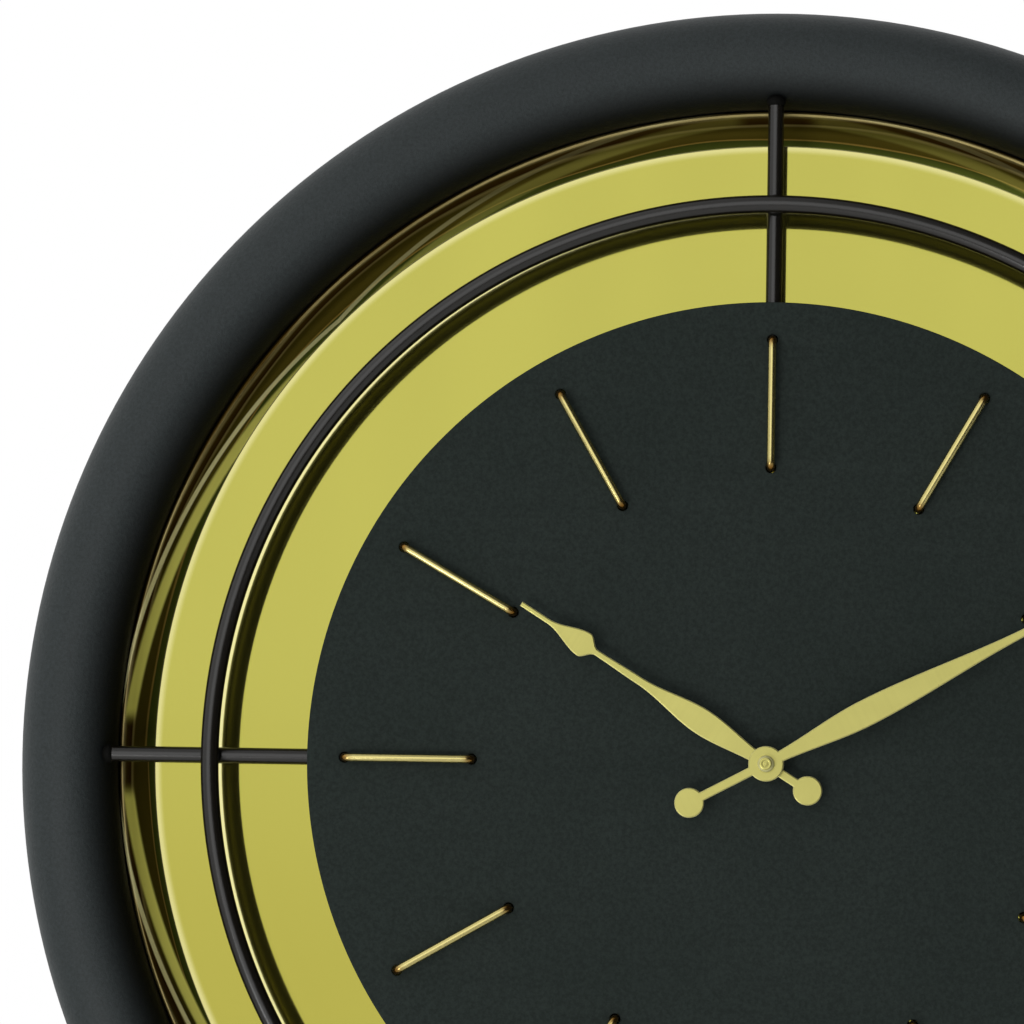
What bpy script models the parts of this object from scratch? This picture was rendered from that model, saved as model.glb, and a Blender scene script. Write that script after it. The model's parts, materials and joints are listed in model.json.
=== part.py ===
"""Pendulum wall clock, 603 mm across: black round frame, gold mirror dish, floating dial, quartz movement.

Everything is drawn in the plane of the dial: X to the right, Y up and Z out of the wall towards the
viewer, in millimetres. The empty "clock_axis" turns that plane upright, so that in the world the clock
faces -Y, its wall plane is y = 0 and its hands turn about the Y axis through the origin.
"""
import math

import bmesh
import bpy

MM = 0.001
GAP = 0.3                      # between neighbouring pieces

# ---- driving dimensions, in millimetres ----
FRAME_OUTER_R = 301.5
FRAME_TUBE_R = 19.5            # radius of the frame's round section
FRAME_SHEET = 1.4
FRAME_LEVEL = 40.0             # height of the widest plane above the wall
DISH_FLOOR_R = 252.0
DISH_FLOOR_LEVEL = 30.0        # front face of the mirror
DISH_SHEET = 1.0
DIAL_R = 183.5
DIAL_THICKNESS = 2.4
DIAL_LEVEL = 57.6              # front face of the dial
SPOKE_R = 3.2
SPOKE_INNER_END = 150.0
SPOKE_OUTER_END = 263.9
RING_R = 222.5                 # centre line of the wire ring
RING_WIRE_R = 3.6
MARKER_INNER, MARKER_OUTER = 116.0, 170.0
MARKER_WIRE_R = 1.5
MARKER_RISE = 3.0              # wire's centre line above the dial
MARKER_HOLE_R = 2.1
PAN_SHEET = 1.2
PAN_FOOT_R = 246.0
COVER_SHEET = 1.5
COVER_HALF = 78.0              # half of the rear cover's side
SCREW_R = 1.6
HANGER_Y = 200.0
HOUR_BEARING, MINUTE_BEARING = 302.3, 62.2    # degrees clockwise from twelve, hands as they stand

# ---- hands and the long centre bush ----
ARBOR_R = 1.3
PIPE_R, PIPE_BORE_R = 2.4, 1.65
BUSH_R, BUSH_BORE_R = 4.0, 2.75
HOUR_HAND_LEVEL, MINUTE_HAND_LEVEL = 63.2, 66.2
HAND_SHEET = 1.0
HUB_R = 7.0
NUT_R = 3.3

# ---- movement: a case with its gear train; levels are heights above the wall ----
CASE_LEFT, CASE_RIGHT, CASE_BOTTOM, CASE_TOP = -30.0, 30.0, -46.0, 68.0
CASE_BACK, CASE_FRONT = 13.0, DISH_FLOOR_LEVEL - DISH_SHEET - GAP
CASE_WALL = 1.5
COVER_BACK = 10.5
HOUR_MODULE, TRAIN_MODULE, FAST_MODULE = 0.6, 0.5, 0.4
TEETH = {"cannon": 10, "motion": 30, "motion_pinion": 8, "hour": 32, "setting": 20,
         "centre": 48, "third_pinion": 8, "third": 40, "fourth_pinion": 8, "fourth": 36}
LEVELS = {"fourth_wheel": (14.2, 15.0), "fourth_pinion": (14.6, 18.0), "third_wheel": (16.4, 17.4),
          "third_pinion": (17.0, 21.1), "rotor": (17.4, 19.8), "stator": (18.0, 19.2),
          "centre_wheel": (19.4, 20.6), "setting_wheel": (22.1, 24.1), "cannon": (22.2, 24.6),
          "motion_wheel": (22.6, 23.6), "motion_pinion": (23.0, 26.7), "hour_wheel": (25.2, 26.5),
          "drive_coil": (13.6, 17.5), "contacts": (14.0, 24.5), "board": (24.0, 25.2)}
ARBOR_FRONT = CASE_FRONT - 0.9       # front end of every arbor that runs in the case
ARBOR_BACK = COVER_BACK + 1.3        # rear end of the fine arbors
WHEEL_ARBOR_R, FINE_ARBOR_R = 0.8, 0.5
FRONT_BEARING_R, REAR_BEARING_R = 1.1, 0.8
ROTOR_R = 2.8
KNOB_R, KNOB_LENGTH = 5.0, 4.0
BATTERY_R, BATTERY_LENGTH = 7.1, 50.0
BATTERY_Y, BATTERY_LEVEL = -34.0, 18.8

# ---- pendulum ----
PIVOT_Y = 58.0
PENDULUM_LEVEL = 6.0
ROD_R = 1.5
ARM_HALF_DEPTH, ARM_LENGTH = 2.6, 26.0
MAGNET_DROP = 9.0                    # magnet and drive coil below the pivot
BOB_Y, BOB_R = -368.0, 42.0

BIG_STEPS, MID_STEPS, SMALL_STEPS = 72, 24, 14


# ---- places worked out from the driving dimensions ----

def polar(radius, degrees):
    """Point at a radius and an angle counted anticlockwise from +X."""
    angle = math.radians(degrees)
    return radius * math.cos(angle), radius * math.sin(angle)


def clock_angle(sixtieths):
    """Angle from +X of a direction on the dial, given in minutes."""
    return 90.0 - sixtieths * 6.0


def centre_distance(module, teeth, other_teeth):
    """Distance between two meshing wheels' axes."""
    return module * (teeth + other_teeth) / 2.0


def beside(point, distance, degrees):
    """Point at a distance and direction from another point."""
    step = polar(distance, degrees)
    return point[0] + step[0], point[1] + step[1]


MOTION_SIDE, SETTING_SIDE, THIRD_SIDE, FOURTH_SIDE = 0.0, -60.0, 135.0, 90.0
MOTION_AT = polar(centre_distance(HOUR_MODULE, TEETH["cannon"], TEETH["motion"]), MOTION_SIDE)
SETTING_AT = beside(MOTION_AT, centre_distance(HOUR_MODULE, TEETH["motion"], TEETH["setting"]), SETTING_SIDE)
THIRD_AT = polar(centre_distance(TRAIN_MODULE, TEETH["centre"], TEETH["third_pinion"]), THIRD_SIDE)
FOURTH_AT = beside(THIRD_AT, centre_distance(FAST_MODULE, TEETH["third"], TEETH["fourth_pinion"]),
                   FOURTH_SIDE)
ROTOR_AT = beside(FOURTH_AT, 8.4, 0.0)
MINUTE_ANGLE = 90.0 - MINUTE_BEARING
HOUR_ANGLE = 90.0 - HOUR_BEARING


# ---- scene, materials and small helpers ----

def clear_scene():
    """Remove every object, so that the script starts from nothing."""
    for item in list(bpy.data.objects):
        bpy.data.objects.remove(item, do_unlink=True)


def new_collection(name):
    """Collection of this name, linked to the scene."""
    collection = bpy.data.collections.get(name) or bpy.data.collections.new(name)
    if collection.name not in bpy.context.scene.collection.children:
        bpy.context.scene.collection.children.link(collection)
    return collection


clear_scene()
PARTS = new_collection("pendulum_wall_clock")
CUTTERS = new_collection("cutters")
AXIS = bpy.data.objects.new("clock_axis", None)
AXIS.rotation_euler = (math.radians(90.0), 0.0, 0.0)
PARTS.objects.link(AXIS)

FINISHES = {
    "frame_black": ((0.045, 0.050, 0.050), 0.55, 0.0),
    "dial_black": ((0.022, 0.030, 0.027), 0.70, 0.0),
    "rod_black": ((0.030, 0.030, 0.028), 0.40, 0.0),
    "gold_mirror": ((0.560, 0.500, 0.110), 0.05, 1.0),
    "gold_wire": ((0.600, 0.500, 0.160), 0.22, 1.0),
    "hand_gold": ((0.620, 0.560, 0.200), 0.30, 1.0),
    "brass": ((0.600, 0.460, 0.180), 0.30, 1.0),
    "pan_black": ((0.030, 0.030, 0.030), 0.60, 0.0),
    "case_plastic": ((0.020, 0.020, 0.022), 0.50, 0.0),
    "gear_plastic": ((0.750, 0.740, 0.700), 0.45, 0.0),
    "steel": ((0.550, 0.550, 0.560), 0.30, 1.0),
    "copper": ((0.500, 0.220, 0.100), 0.35, 1.0),
    "rubber": ((0.015, 0.015, 0.015), 0.85, 0.0),
    "board_green": ((0.020, 0.120, 0.050), 0.50, 0.0),
    "battery_sleeve": ((0.080, 0.100, 0.160), 0.40, 0.0),
}


def finish(name):
    """Principled material of this name, made once."""
    material = bpy.data.materials.get(name)
    if material:
        return material
    colour, roughness, metallic = FINISHES[name]
    material = bpy.data.materials.new(name)
    material.use_nodes = True
    shader = material.node_tree.nodes["Principled BSDF"]
    shader.inputs["Base Color"].default_value = (*colour, 1.0)
    shader.inputs["Roughness"].default_value = roughness
    shader.inputs["Metallic"].default_value = metallic
    return material


def place(name, mesh, material, at=(0.0, 0.0), turn=0.0):
    """Put a mesh on the clock as a named piece, its origin at a point of the dial plane."""
    item = bpy.data.objects.new(name, mesh)
    item.location = (at[0] * MM, at[1] * MM, 0.0)
    item.rotation_euler = (0.0, 0.0, math.radians(turn))
    item.parent = AXIS
    if not mesh.materials:
        mesh.materials.append(finish(material))
    PARTS.objects.link(item)
    return item


def as_cutter(item):
    """Hide a shape that only cuts or joins another."""
    for collection in list(item.users_collection):
        collection.objects.unlink(item)
    CUTTERS.objects.link(item)
    item.hide_render = True
    item.display_type = "WIRE"
    return item


def combine(target, tool, operation):
    """Boolean the tool into the target and keep the tool as a cutter."""
    modifier = target.modifiers.new(f"{operation}_{tool.name}"[:60], "BOOLEAN")
    modifier.operation = operation
    modifier.solver = "EXACT"
    modifier.object = as_cutter(tool)
    return target


def cut(target, tool):
    """Take the tool's shape out of the target."""
    return combine(target, tool, "DIFFERENCE")


def join(target, tool):
    """Add the tool's shape to the target as one body."""
    return combine(target, tool, "UNION")


def circle(radius, count, centre=(0.0, 0.0), start=0.0):
    """Corner points of a round outline."""
    return [beside(centre, radius, start + 360.0 * i / count) for i in range(count)]


def arc(centre, radius, first, last, count):
    """Points along an arc, both ends included."""
    return [beside(centre, radius, first + (last - first) * i / count) for i in range(count + 1)]


def rectangle(left, right, bottom, top):
    """Corner points of an upright rectangle."""
    return [(left, bottom), (right, bottom), (right, top), (left, top)]


def mesh_of_curve(curve, name):
    """Closed mesh of a curve: evaluated, its loose caps welded, and the curve removed."""
    item = bpy.data.objects.new(name + "_curve", curve)
    bpy.context.scene.collection.objects.link(item)
    bpy.context.view_layer.update()
    evaluated = item.evaluated_get(bpy.context.evaluated_depsgraph_get())
    mesh = bpy.data.meshes.new_from_object(evaluated)
    mesh.name = name
    bpy.data.objects.remove(item)
    bpy.data.curves.remove(curve)
    mesh.materials.clear()
    shape = bmesh.new()
    shape.from_mesh(mesh)
    bmesh.ops.remove_doubles(shape, verts=shape.verts, dist=0.00001)
    bmesh.ops.recalc_face_normals(shape, faces=shape.faces)
    shape.to_mesh(mesh)
    shape.free()
    return mesh


def plate_mesh(name, outlines, bottom, top):
    """Flat piece between two heights; outlines after the first are holes in it."""
    curve = bpy.data.curves.new(name, "CURVE")
    curve.dimensions = "2D"
    curve.fill_mode = "BOTH"
    curve.extrude = (top - bottom) / 2.0 * MM
    for outline in outlines:
        spline = curve.splines.new("POLY")
        spline.points.add(len(outline) - 1)
        for point, (x, y) in zip(spline.points, outline):
            point.co = (x * MM, y * MM, 0.0, 1.0)
        spline.use_cyclic_u = True
    mesh = mesh_of_curve(curve, name)
    for vertex in mesh.vertices:
        vertex.co.z += (top + bottom) / 2.0 * MM
    return mesh


def plate(name, outlines, bottom, top, material, at=(0.0, 0.0), turn=0.0):
    """Flat piece placed on the clock."""
    return place(name, plate_mesh(name, outlines, bottom, top), material, at, turn)


def block(name, left, right, bottom, top, back, front, material="steel"):
    """Rectangular piece between six planes."""
    return plate(name, [rectangle(left, right, bottom, top)], back, front, material)


def round_bar(name, radius, back, front, material="steel", at=(0.0, 0.0), steps=SMALL_STEPS):
    """Cylinder whose axis points out of the wall."""
    shape = bmesh.new()
    bmesh.ops.create_cone(shape, cap_ends=True, segments=steps, radius1=radius * MM,
                          radius2=radius * MM, depth=(front - back) * MM)
    bmesh.ops.translate(shape, verts=shape.verts, vec=(0.0, 0.0, (front + back) / 2.0 * MM))
    mesh = bpy.data.meshes.new(name)
    shape.to_mesh(mesh)
    shape.free()
    item = place(name, mesh, material, at)
    smooth(item)
    return item


def smooth(item, degrees=40.0):
    """Shade smooth, with edges kept where the surface turns sharply."""
    item.data.shade_smooth()
    item.data.set_sharp_from_angle(angle=math.radians(degrees))
    return item


def turned(name, profile, material, at=(0.0, 0.0), steps=BIG_STEPS, closed=True):
    """Turned piece. The profile lists (radius, height), down the outer side and up the inner one.

    An open profile starts and ends on the axis.
    """
    mesh = bpy.data.meshes.new(name)
    vertices = [(r * MM, 0.0, z * MM) for r, z in profile]
    edges = [(i, i + 1) for i in range(len(profile) - 1)]
    if closed:
        edges.append((len(profile) - 1, 0))
    mesh.from_pydata(vertices, edges, [])
    item = place(name, mesh, material, at)
    screw = item.modifiers.new("turn", "SCREW")
    screw.axis = "Z"
    screw.angle = math.tau
    screw.steps = steps
    screw.render_steps = steps
    screw.use_merge_vertices = True
    screw.merge_threshold = 0.00001
    screw.use_smooth_shade = True
    return item


def wire_mesh(name, points, radius):
    """Round wire through the points, with flat filled ends."""
    curve = bpy.data.curves.new(name, "CURVE")
    curve.dimensions = "3D"
    curve.bevel_depth = radius * MM
    curve.bevel_resolution = 2
    curve.use_fill_caps = True
    spline = curve.splines.new("POLY")
    spline.points.add(len(points) - 1)
    for point, (x, y, z) in zip(spline.points, points):
        point.co = (x * MM, y * MM, z * MM, 1.0)
    return mesh_of_curve(curve, name)


# ---- gears ----

def tooth_outline(module, teeth, start):
    """Outline of a spur wheel with slim teeth, so that meshing wheels never touch.

    start is the angle of the first tooth's middle.
    """
    pitch_r = module * teeth / 2.0
    root_r, tip_r = pitch_r - 1.15 * module, pitch_r + 0.75 * module
    pitch = 360.0 / teeth
    points = []
    for index in range(teeth):
        middle = start + pitch * index
        for radius, share in ((root_r, -0.27), (tip_r, -0.09), (tip_r, 0.09), (root_r, 0.27)):
            points.append(polar(radius, middle + pitch * share))
    return points


def wheel(name, module, teeth, start, back, front, material, at=(0.0, 0.0), bore=None):
    """Toothed wheel between two levels."""
    outlines = [tooth_outline(module, teeth, start)]
    if bore:
        outlines.append(circle(bore, SMALL_STEPS))
    return plate(name, outlines, back, front, material, at)


def meshing_start(teeth, direction, other_teeth):
    """First tooth angle of a wheel that meshes with another one, whose first tooth is at 0 degrees.

    direction is the way from the other wheel's axis to this wheel's axis.
    """
    phase = (direction * other_teeth / 360.0) % 1.0
    return direction + 180.0 - (0.5 - phase) * 360.0 / teeth


# ---- frame, dish, ring, spokes and dial ----

def build_frame():
    """Round-section ring with an open channel at the back."""
    centre = (FRAME_OUTER_R - FRAME_TUBE_R, FRAME_LEVEL)
    outer = arc(centre, FRAME_TUBE_R, 180.0 + 35.0, -35.0, 13)
    inner = arc(centre, FRAME_TUBE_R - FRAME_SHEET, -35.0, 180.0 + 35.0, 7)
    turned("outer_frame", outer + inner, "frame_black")


def build_dish():
    """Mirror dish: flat floor, bead at its edge and steep rim up to the frame."""
    floor, sheet = DISH_FLOOR_LEVEL, DISH_SHEET
    lip_r = FRAME_OUTER_R - 2.0 * FRAME_TUBE_R - GAP
    front = [(lip_r, FRAME_LEVEL), (DISH_FLOOR_R + 6.0, floor + 5.0), (DISH_FLOOR_R + 3.0, floor + 2.6),
             (DISH_FLOOR_R, floor), (BUSH_R + 1.0, floor)]
    rear = [(BUSH_R + 1.0, floor - sheet), (DISH_FLOOR_R + 0.4, floor - sheet),
            (DISH_FLOOR_R + 3.8, floor + 2.6 - sheet * 0.8), (DISH_FLOOR_R + 6.8, floor + 4.5),
            (lip_r, FRAME_LEVEL - 1.6)]
    turned("gold_dish", list(reversed(front + rear)), "gold_mirror")


def build_ring():
    """Bent rod ring that lies on the four spokes."""
    bpy.ops.mesh.primitive_torus_add(major_segments=BIG_STEPS, minor_segments=8,
                                     major_radius=RING_R * MM, minor_radius=RING_WIRE_R * MM)
    made = bpy.context.active_object
    mesh = made.data.copy()
    bpy.data.objects.remove(made)
    level = dial_back() + RING_WIRE_R      # the ring crosses the spokes in front of them
    for vertex in mesh.vertices:
        vertex.co.z += level * MM
    smooth(place("wire_ring", mesh, "rod_black"))


def dial_back():
    """Height of the dial's rear face."""
    return DIAL_LEVEL - DIAL_THICKNESS


def build_spokes():
    """Four rods from the frame's inner side to behind the dial."""
    level = dial_back() - GAP - SPOKE_R
    points = [(SPOKE_INNER_END, 0.0, level), (SPOKE_OUTER_END, 0.0, level)]
    mesh = wire_mesh("spoke", points, SPOKE_R)
    for hour in (12, 3, 6, 9):
        smooth(place(f"spoke_{hour}", mesh, "rod_black", turn=clock_angle(hour * 5)))


def build_dial():
    """Dial disc with a centre hole and two holes for each marker."""
    outlines = [circle(DIAL_R, BIG_STEPS), circle(BUSH_R + GAP, SMALL_STEPS)]
    for hour in range(12):
        for radius in (MARKER_INNER + MARKER_WIRE_R, MARKER_OUTER - MARKER_WIRE_R):
            outlines.append(circle(MARKER_HOLE_R, 10, polar(radius, clock_angle(hour * 5))))
    plate("dial_disc", outlines, dial_back(), DIAL_LEVEL, "dial_black")


def build_markers():
    """Twelve staples of gold wire, their ends bent down into the dial's holes."""
    top = DIAL_LEVEL + MARKER_RISE
    foot = DIAL_LEVEL - 1.8
    bend = 1.7
    first, last = MARKER_INNER + MARKER_WIRE_R, MARKER_OUTER - MARKER_WIRE_R
    rise = [(r, 0.0, z) for r, z in arc((first + bend, top - bend), bend, 180.0, 90.0, 3)]
    fall = [(r, 0.0, z) for r, z in arc((last - bend, top - bend), bend, 90.0, 0.0, 3)]
    mesh = wire_mesh("marker", [(first, 0.0, foot)] + rise + fall + [(last, 0.0, foot)], MARKER_WIRE_R)
    for hour in range(1, 13):
        smooth(place(f"marker_{hour}", mesh, "gold_wire", turn=clock_angle(hour * 5)))


# ---- hands ----

def eased(stations, distance):
    """Half width at a distance along a hand, eased between (distance, half width) stations."""
    for (near, near_w), (far, far_w) in zip(stations, stations[1:]):
        if near <= distance <= far:
            share = (distance - near) / (far - near)
            share = share * share * (3.0 - 2.0 * share)
            return near_w + (far_w - near_w) * share
    return 0.0


def disc_width(distance, centre, radius):
    """Half width of a disc on the hand's middle line."""
    inside = radius * radius - (distance - centre) ** 2
    return math.sqrt(inside) if inside > 0.0 else 0.0


def hand_outline(blade, tail_at, tail_r, arm_half):
    """Outline of a hand along +X: blade, hub disc, tail arm and tail disc."""
    tip = blade[-1][0]
    near = [-tail_at + tail_r * math.cos(math.radians(a)) for a in range(180, 20, -20)]
    hub = [HUB_R * math.cos(math.radians(a)) for a in range(160, 10, -20)]
    far = [HUB_R + (tip - HUB_R) * i / 32.0 for i in range(1, 33)]
    upper = []
    for distance in near + [(hub[0] - tail_at + tail_r) / 2.0] + hub + far:
        arm = arm_half if -tail_at <= distance <= 0.0 else 0.0
        half = max(eased(blade, distance), arm, disc_width(distance, 0.0, HUB_R),
                   disc_width(distance, -tail_at, tail_r))
        upper.append((distance, half))
    lower = [(d, -h) for d, h in reversed(upper) if h > 0.01]
    return upper + lower


HOUR_BLADE = [(0.0, 2.2), (30.0, 5.2), (60.0, 1.6), (80.5, 1.2), (86.0, 5.2), (103.0, 1.0), (116.0, 1.0)]
MINUTE_BLADE = [(0.0, 2.0), (44.0, 5.3), (118.0, 1.5), (134.0, 1.2), (139.5, 5.2), (156.0, 1.0),
                (168.0, 1.0)]


def build_hands():
    """Hour hand on its pipe, minute hand on the arbor and the nut that holds it."""
    hour = [hand_outline(HOUR_BLADE, 19.4, 5.8, 1.75), circle(PIPE_R + GAP, SMALL_STEPS)]
    minute = [hand_outline(MINUTE_BLADE, 34.0, 5.9, 1.8), circle(ARBOR_R + GAP, SMALL_STEPS)]
    plate("hour_hand", hour, HOUR_HAND_LEVEL, HOUR_HAND_LEVEL + HAND_SHEET, "hand_gold", turn=HOUR_ANGLE)
    plate("minute_hand", minute, MINUTE_HAND_LEVEL, MINUTE_HAND_LEVEL + HAND_SHEET, "hand_gold",
          turn=MINUTE_ANGLE)
    base = MINUTE_HAND_LEVEL + HAND_SHEET + GAP
    bore = ARBOR_R + GAP
    profile = [(0.0, base + 2.6), (NUT_R - 0.8, base + 2.4), (NUT_R, base + 1.6), (NUT_R, base),
               (bore, base), (bore, base + 1.7), (0.0, base + 1.7)]
    turned("hand_nut", profile, "hand_gold", steps=MID_STEPS, closed=False)


# ---- centre fixing: bush, spacer and nut ----

def build_centre_fixing():
    """Long threaded bush with a spacer behind the dial and a nut in front of it."""
    nut_back = DIAL_LEVEL + GAP
    bush_front = nut_back + 3.2
    tube = [(BUSH_R, bush_front), (BUSH_R, CASE_FRONT + GAP + 0.05), (BUSH_BORE_R, CASE_FRONT + GAP + 0.05),
            (BUSH_BORE_R, bush_front)]
    turned("centre_bush", tube, "brass", steps=MID_STEPS)
    inner = BUSH_R + GAP
    spacer = [(6.5, dial_back() - GAP), (6.5, DISH_FLOOR_LEVEL + GAP),
              (inner, DISH_FLOOR_LEVEL + GAP), (inner, dial_back() - GAP)]
    turned("dial_spacer", spacer, "brass", steps=MID_STEPS)
    plate("fixing_nut", [circle(6.8, 6), circle(inner, MID_STEPS)], nut_back, nut_back + 2.2, "brass")


# ---- movement ----

def build_case():
    """Front shell of the movement, with a bearing hole for each arbor."""
    outer = rectangle(CASE_LEFT, CASE_RIGHT, CASE_BOTTOM, CASE_TOP)
    case = plate("movement_case", [outer], CASE_BACK, CASE_FRONT, "case_plastic")
    wall = CASE_WALL
    cut(case, block("case_hollow", CASE_LEFT + wall, CASE_RIGHT - wall, CASE_BOTTOM + wall, CASE_TOP - wall,
                    CASE_BACK - 1.0, CASE_FRONT - wall))
    cut(case, round_bar("pipe_hole", PIPE_R + GAP, CASE_FRONT - 3.0, CASE_FRONT + 1.0))
    for name, at in (("motion", MOTION_AT), ("setting", SETTING_AT), ("third", THIRD_AT),
                     ("fourth", FOURTH_AT), ("rotor", ROTOR_AT)):
        cut(case, round_bar(f"{name}_front_bearing", FRONT_BEARING_R, CASE_FRONT - wall - 1.0,
                            CASE_FRONT - 0.5, at=at, steps=10))


def build_cover():
    """Back plate of the movement, with the battery bay, the bearings and the pendulum's boss."""
    outer = rectangle(CASE_LEFT, CASE_RIGHT, CASE_BOTTOM, CASE_TOP)
    bay = rectangle(-BATTERY_LENGTH / 2 - 2.6, BATTERY_LENGTH / 2 + 2.6, BATTERY_Y - BATTERY_R - 1.0,
                    BATTERY_Y + BATTERY_R + 1.0)
    holes = [bay, circle(1.6, 10, (0.0, PIVOT_Y)), circle(ARBOR_R + GAP, 10),
             circle(1.2, 10, SETTING_AT)]
    cover = plate("movement_cover", [outer] + holes, COVER_BACK, CASE_BACK - GAP, "case_plastic")
    for name, at in (("third", THIRD_AT), ("fourth", FOURTH_AT), ("rotor", ROTOR_AT)):
        cut(cover, round_bar(f"{name}_rear_bearing", REAR_BEARING_R, COVER_BACK + 1.0,
                             CASE_BACK + 1.0, at=at, steps=10))


def build_hand_train():
    """Minute arbor, cannon pinion, motion wheel, hour wheel and the setting stem with its knob."""
    arbor = round_bar("minute_arbor", ARBOR_R, COVER_BACK + 0.8, MINUTE_HAND_LEVEL + HAND_SHEET + 1.5,
                      "brass")
    join(arbor, wheel("centre_wheel_teeth", TRAIN_MODULE, TEETH["centre"], 0.0, *LEVELS["centre_wheel"],
                      "brass"))
    cannon_start = meshing_start(TEETH["cannon"], MOTION_SIDE + 180.0, TEETH["motion"])
    wheel("cannon_pinion", HOUR_MODULE, TEETH["cannon"], cannon_start, *LEVELS["cannon"], "brass",
          bore=ARBOR_R + GAP)

    motion = wheel("motion_wheel", HOUR_MODULE, TEETH["motion"], 0.0, *LEVELS["motion_wheel"],
                   "gear_plastic", MOTION_AT)
    join(motion, wheel("motion_pinion_teeth", HOUR_MODULE, TEETH["motion_pinion"], 0.0,
                       *LEVELS["motion_pinion"], "gear_plastic", MOTION_AT))
    clear_of_centre_wheel = LEVELS["centre_wheel"][1] + 0.8
    join(motion, round_bar("motion_arbor", WHEEL_ARBOR_R, clear_of_centre_wheel, ARBOR_FRONT, at=MOTION_AT,
                           steps=10))

    hour_start = meshing_start(TEETH["hour"], MOTION_SIDE + 180.0, TEETH["motion_pinion"])
    hour = wheel("hour_wheel", HOUR_MODULE, TEETH["hour"], hour_start, *LEVELS["hour_wheel"],
                 "gear_plastic", bore=PIPE_BORE_R + 0.1)
    pipe_front = HOUR_HAND_LEVEL + HAND_SHEET + 0.5
    pipe_back = LEVELS["hour_wheel"][0] - 0.2
    pipe = [(PIPE_R, pipe_front), (PIPE_R, pipe_back), (PIPE_BORE_R, pipe_back), (PIPE_BORE_R, pipe_front)]
    join(hour, turned("hour_pipe", pipe, "gear_plastic", steps=SMALL_STEPS))

    knob_front = COVER_BACK - 1.0
    knob = round_bar("set_knob", KNOB_R, knob_front - KNOB_LENGTH, knob_front, "case_plastic", SETTING_AT,
                     MID_STEPS)
    join(knob, round_bar("setting_stem", WHEEL_ARBOR_R, knob_front - 1.0, ARBOR_FRONT, at=SETTING_AT,
                         steps=10))
    setting_start = meshing_start(TEETH["setting"], SETTING_SIDE, TEETH["motion"])
    join(knob, wheel("setting_teeth", HOUR_MODULE, TEETH["setting"], setting_start,
                     *LEVELS["setting_wheel"], "case_plastic", SETTING_AT))


def build_drive_train():
    """Third and fourth wheels and the step motor."""
    third = wheel("third_wheel", FAST_MODULE, TEETH["third"], 0.0, *LEVELS["third_wheel"], "gear_plastic",
                  THIRD_AT)
    third_start = meshing_start(TEETH["third_pinion"], THIRD_SIDE, TEETH["centre"])
    join(third, wheel("third_pinion_teeth", TRAIN_MODULE, TEETH["third_pinion"], third_start,
                      *LEVELS["third_pinion"], "gear_plastic", THIRD_AT))
    join(third, round_bar("third_arbor", FINE_ARBOR_R, ARBOR_BACK, ARBOR_FRONT, at=THIRD_AT, steps=10))

    fourth = wheel("fourth_wheel", FAST_MODULE, TEETH["fourth"], 0.0, *LEVELS["fourth_wheel"],
                   "gear_plastic", FOURTH_AT)
    fourth_start = meshing_start(TEETH["fourth_pinion"], FOURTH_SIDE, TEETH["third"])
    join(fourth, wheel("fourth_pinion_teeth", FAST_MODULE, TEETH["fourth_pinion"], fourth_start,
                       *LEVELS["fourth_pinion"], "gear_plastic", FOURTH_AT))
    join(fourth, round_bar("fourth_arbor", FINE_ARBOR_R, ARBOR_BACK, ARBOR_FRONT, at=FOURTH_AT, steps=10))

    rotor = round_bar("rotor", ROTOR_R, *LEVELS["rotor"], "steel", ROTOR_AT)
    join(rotor, round_bar("rotor_arbor", FINE_ARBOR_R, ARBOR_BACK, ARBOR_FRONT, at=ROTOR_AT, steps=10))
    build_stator_and_coil()


def build_stator_and_coil():
    """Stator plate round the rotor, with the coil on its upper limb."""
    side, length, height, limb = 4.6, 30.0, 23.6, 4.5
    left, low = ROTOR_AT[0] - side, ROTOR_AT[1] - side
    right, high = left + length, low + height
    back, front = LEVELS["stator"]
    window = rectangle(left + limb + 0.5, right - limb + 0.5, ROTOR_AT[1] + side + 0.4, high - limb)
    rotor_hole = circle(ROTOR_R + 2 * GAP, SMALL_STEPS, ROTOR_AT)
    plate("stator", [rectangle(left, right, low, high), rotor_hole, window], back, front, "steel")
    coil = build_bobbin("coil", window[0][0] + 2 * GAP, window[1][0] - 2 * GAP, high - limb / 2.0,
                        (back + front) / 2.0)
    cut(coil, block("coil_bore", left - side, right + side, high - limb - GAP, high + GAP, back - GAP,
                    front + GAP))


def build_bobbin(name, left, right, y, level):
    """Wound bobbin lying along X: winding between two flanges."""
    half = (right - left) / 2.0
    flange_r, winding_r, flange = 5.0, 4.4, 1.0
    profile = [(0.0, half), (flange_r, half), (flange_r, half - flange), (winding_r, half - flange),
               (winding_r, flange - half), (flange_r, flange - half), (flange_r, -half), (0.0, -half)]
    bobbin = turned(name, profile, "copper", steps=SMALL_STEPS, closed=False)
    bobbin.rotation_euler = (0.0, math.radians(90.0), 0.0)
    bobbin.location = ((left + right) / 2.0 * MM, y * MM, level * MM)
    return bobbin


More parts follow.
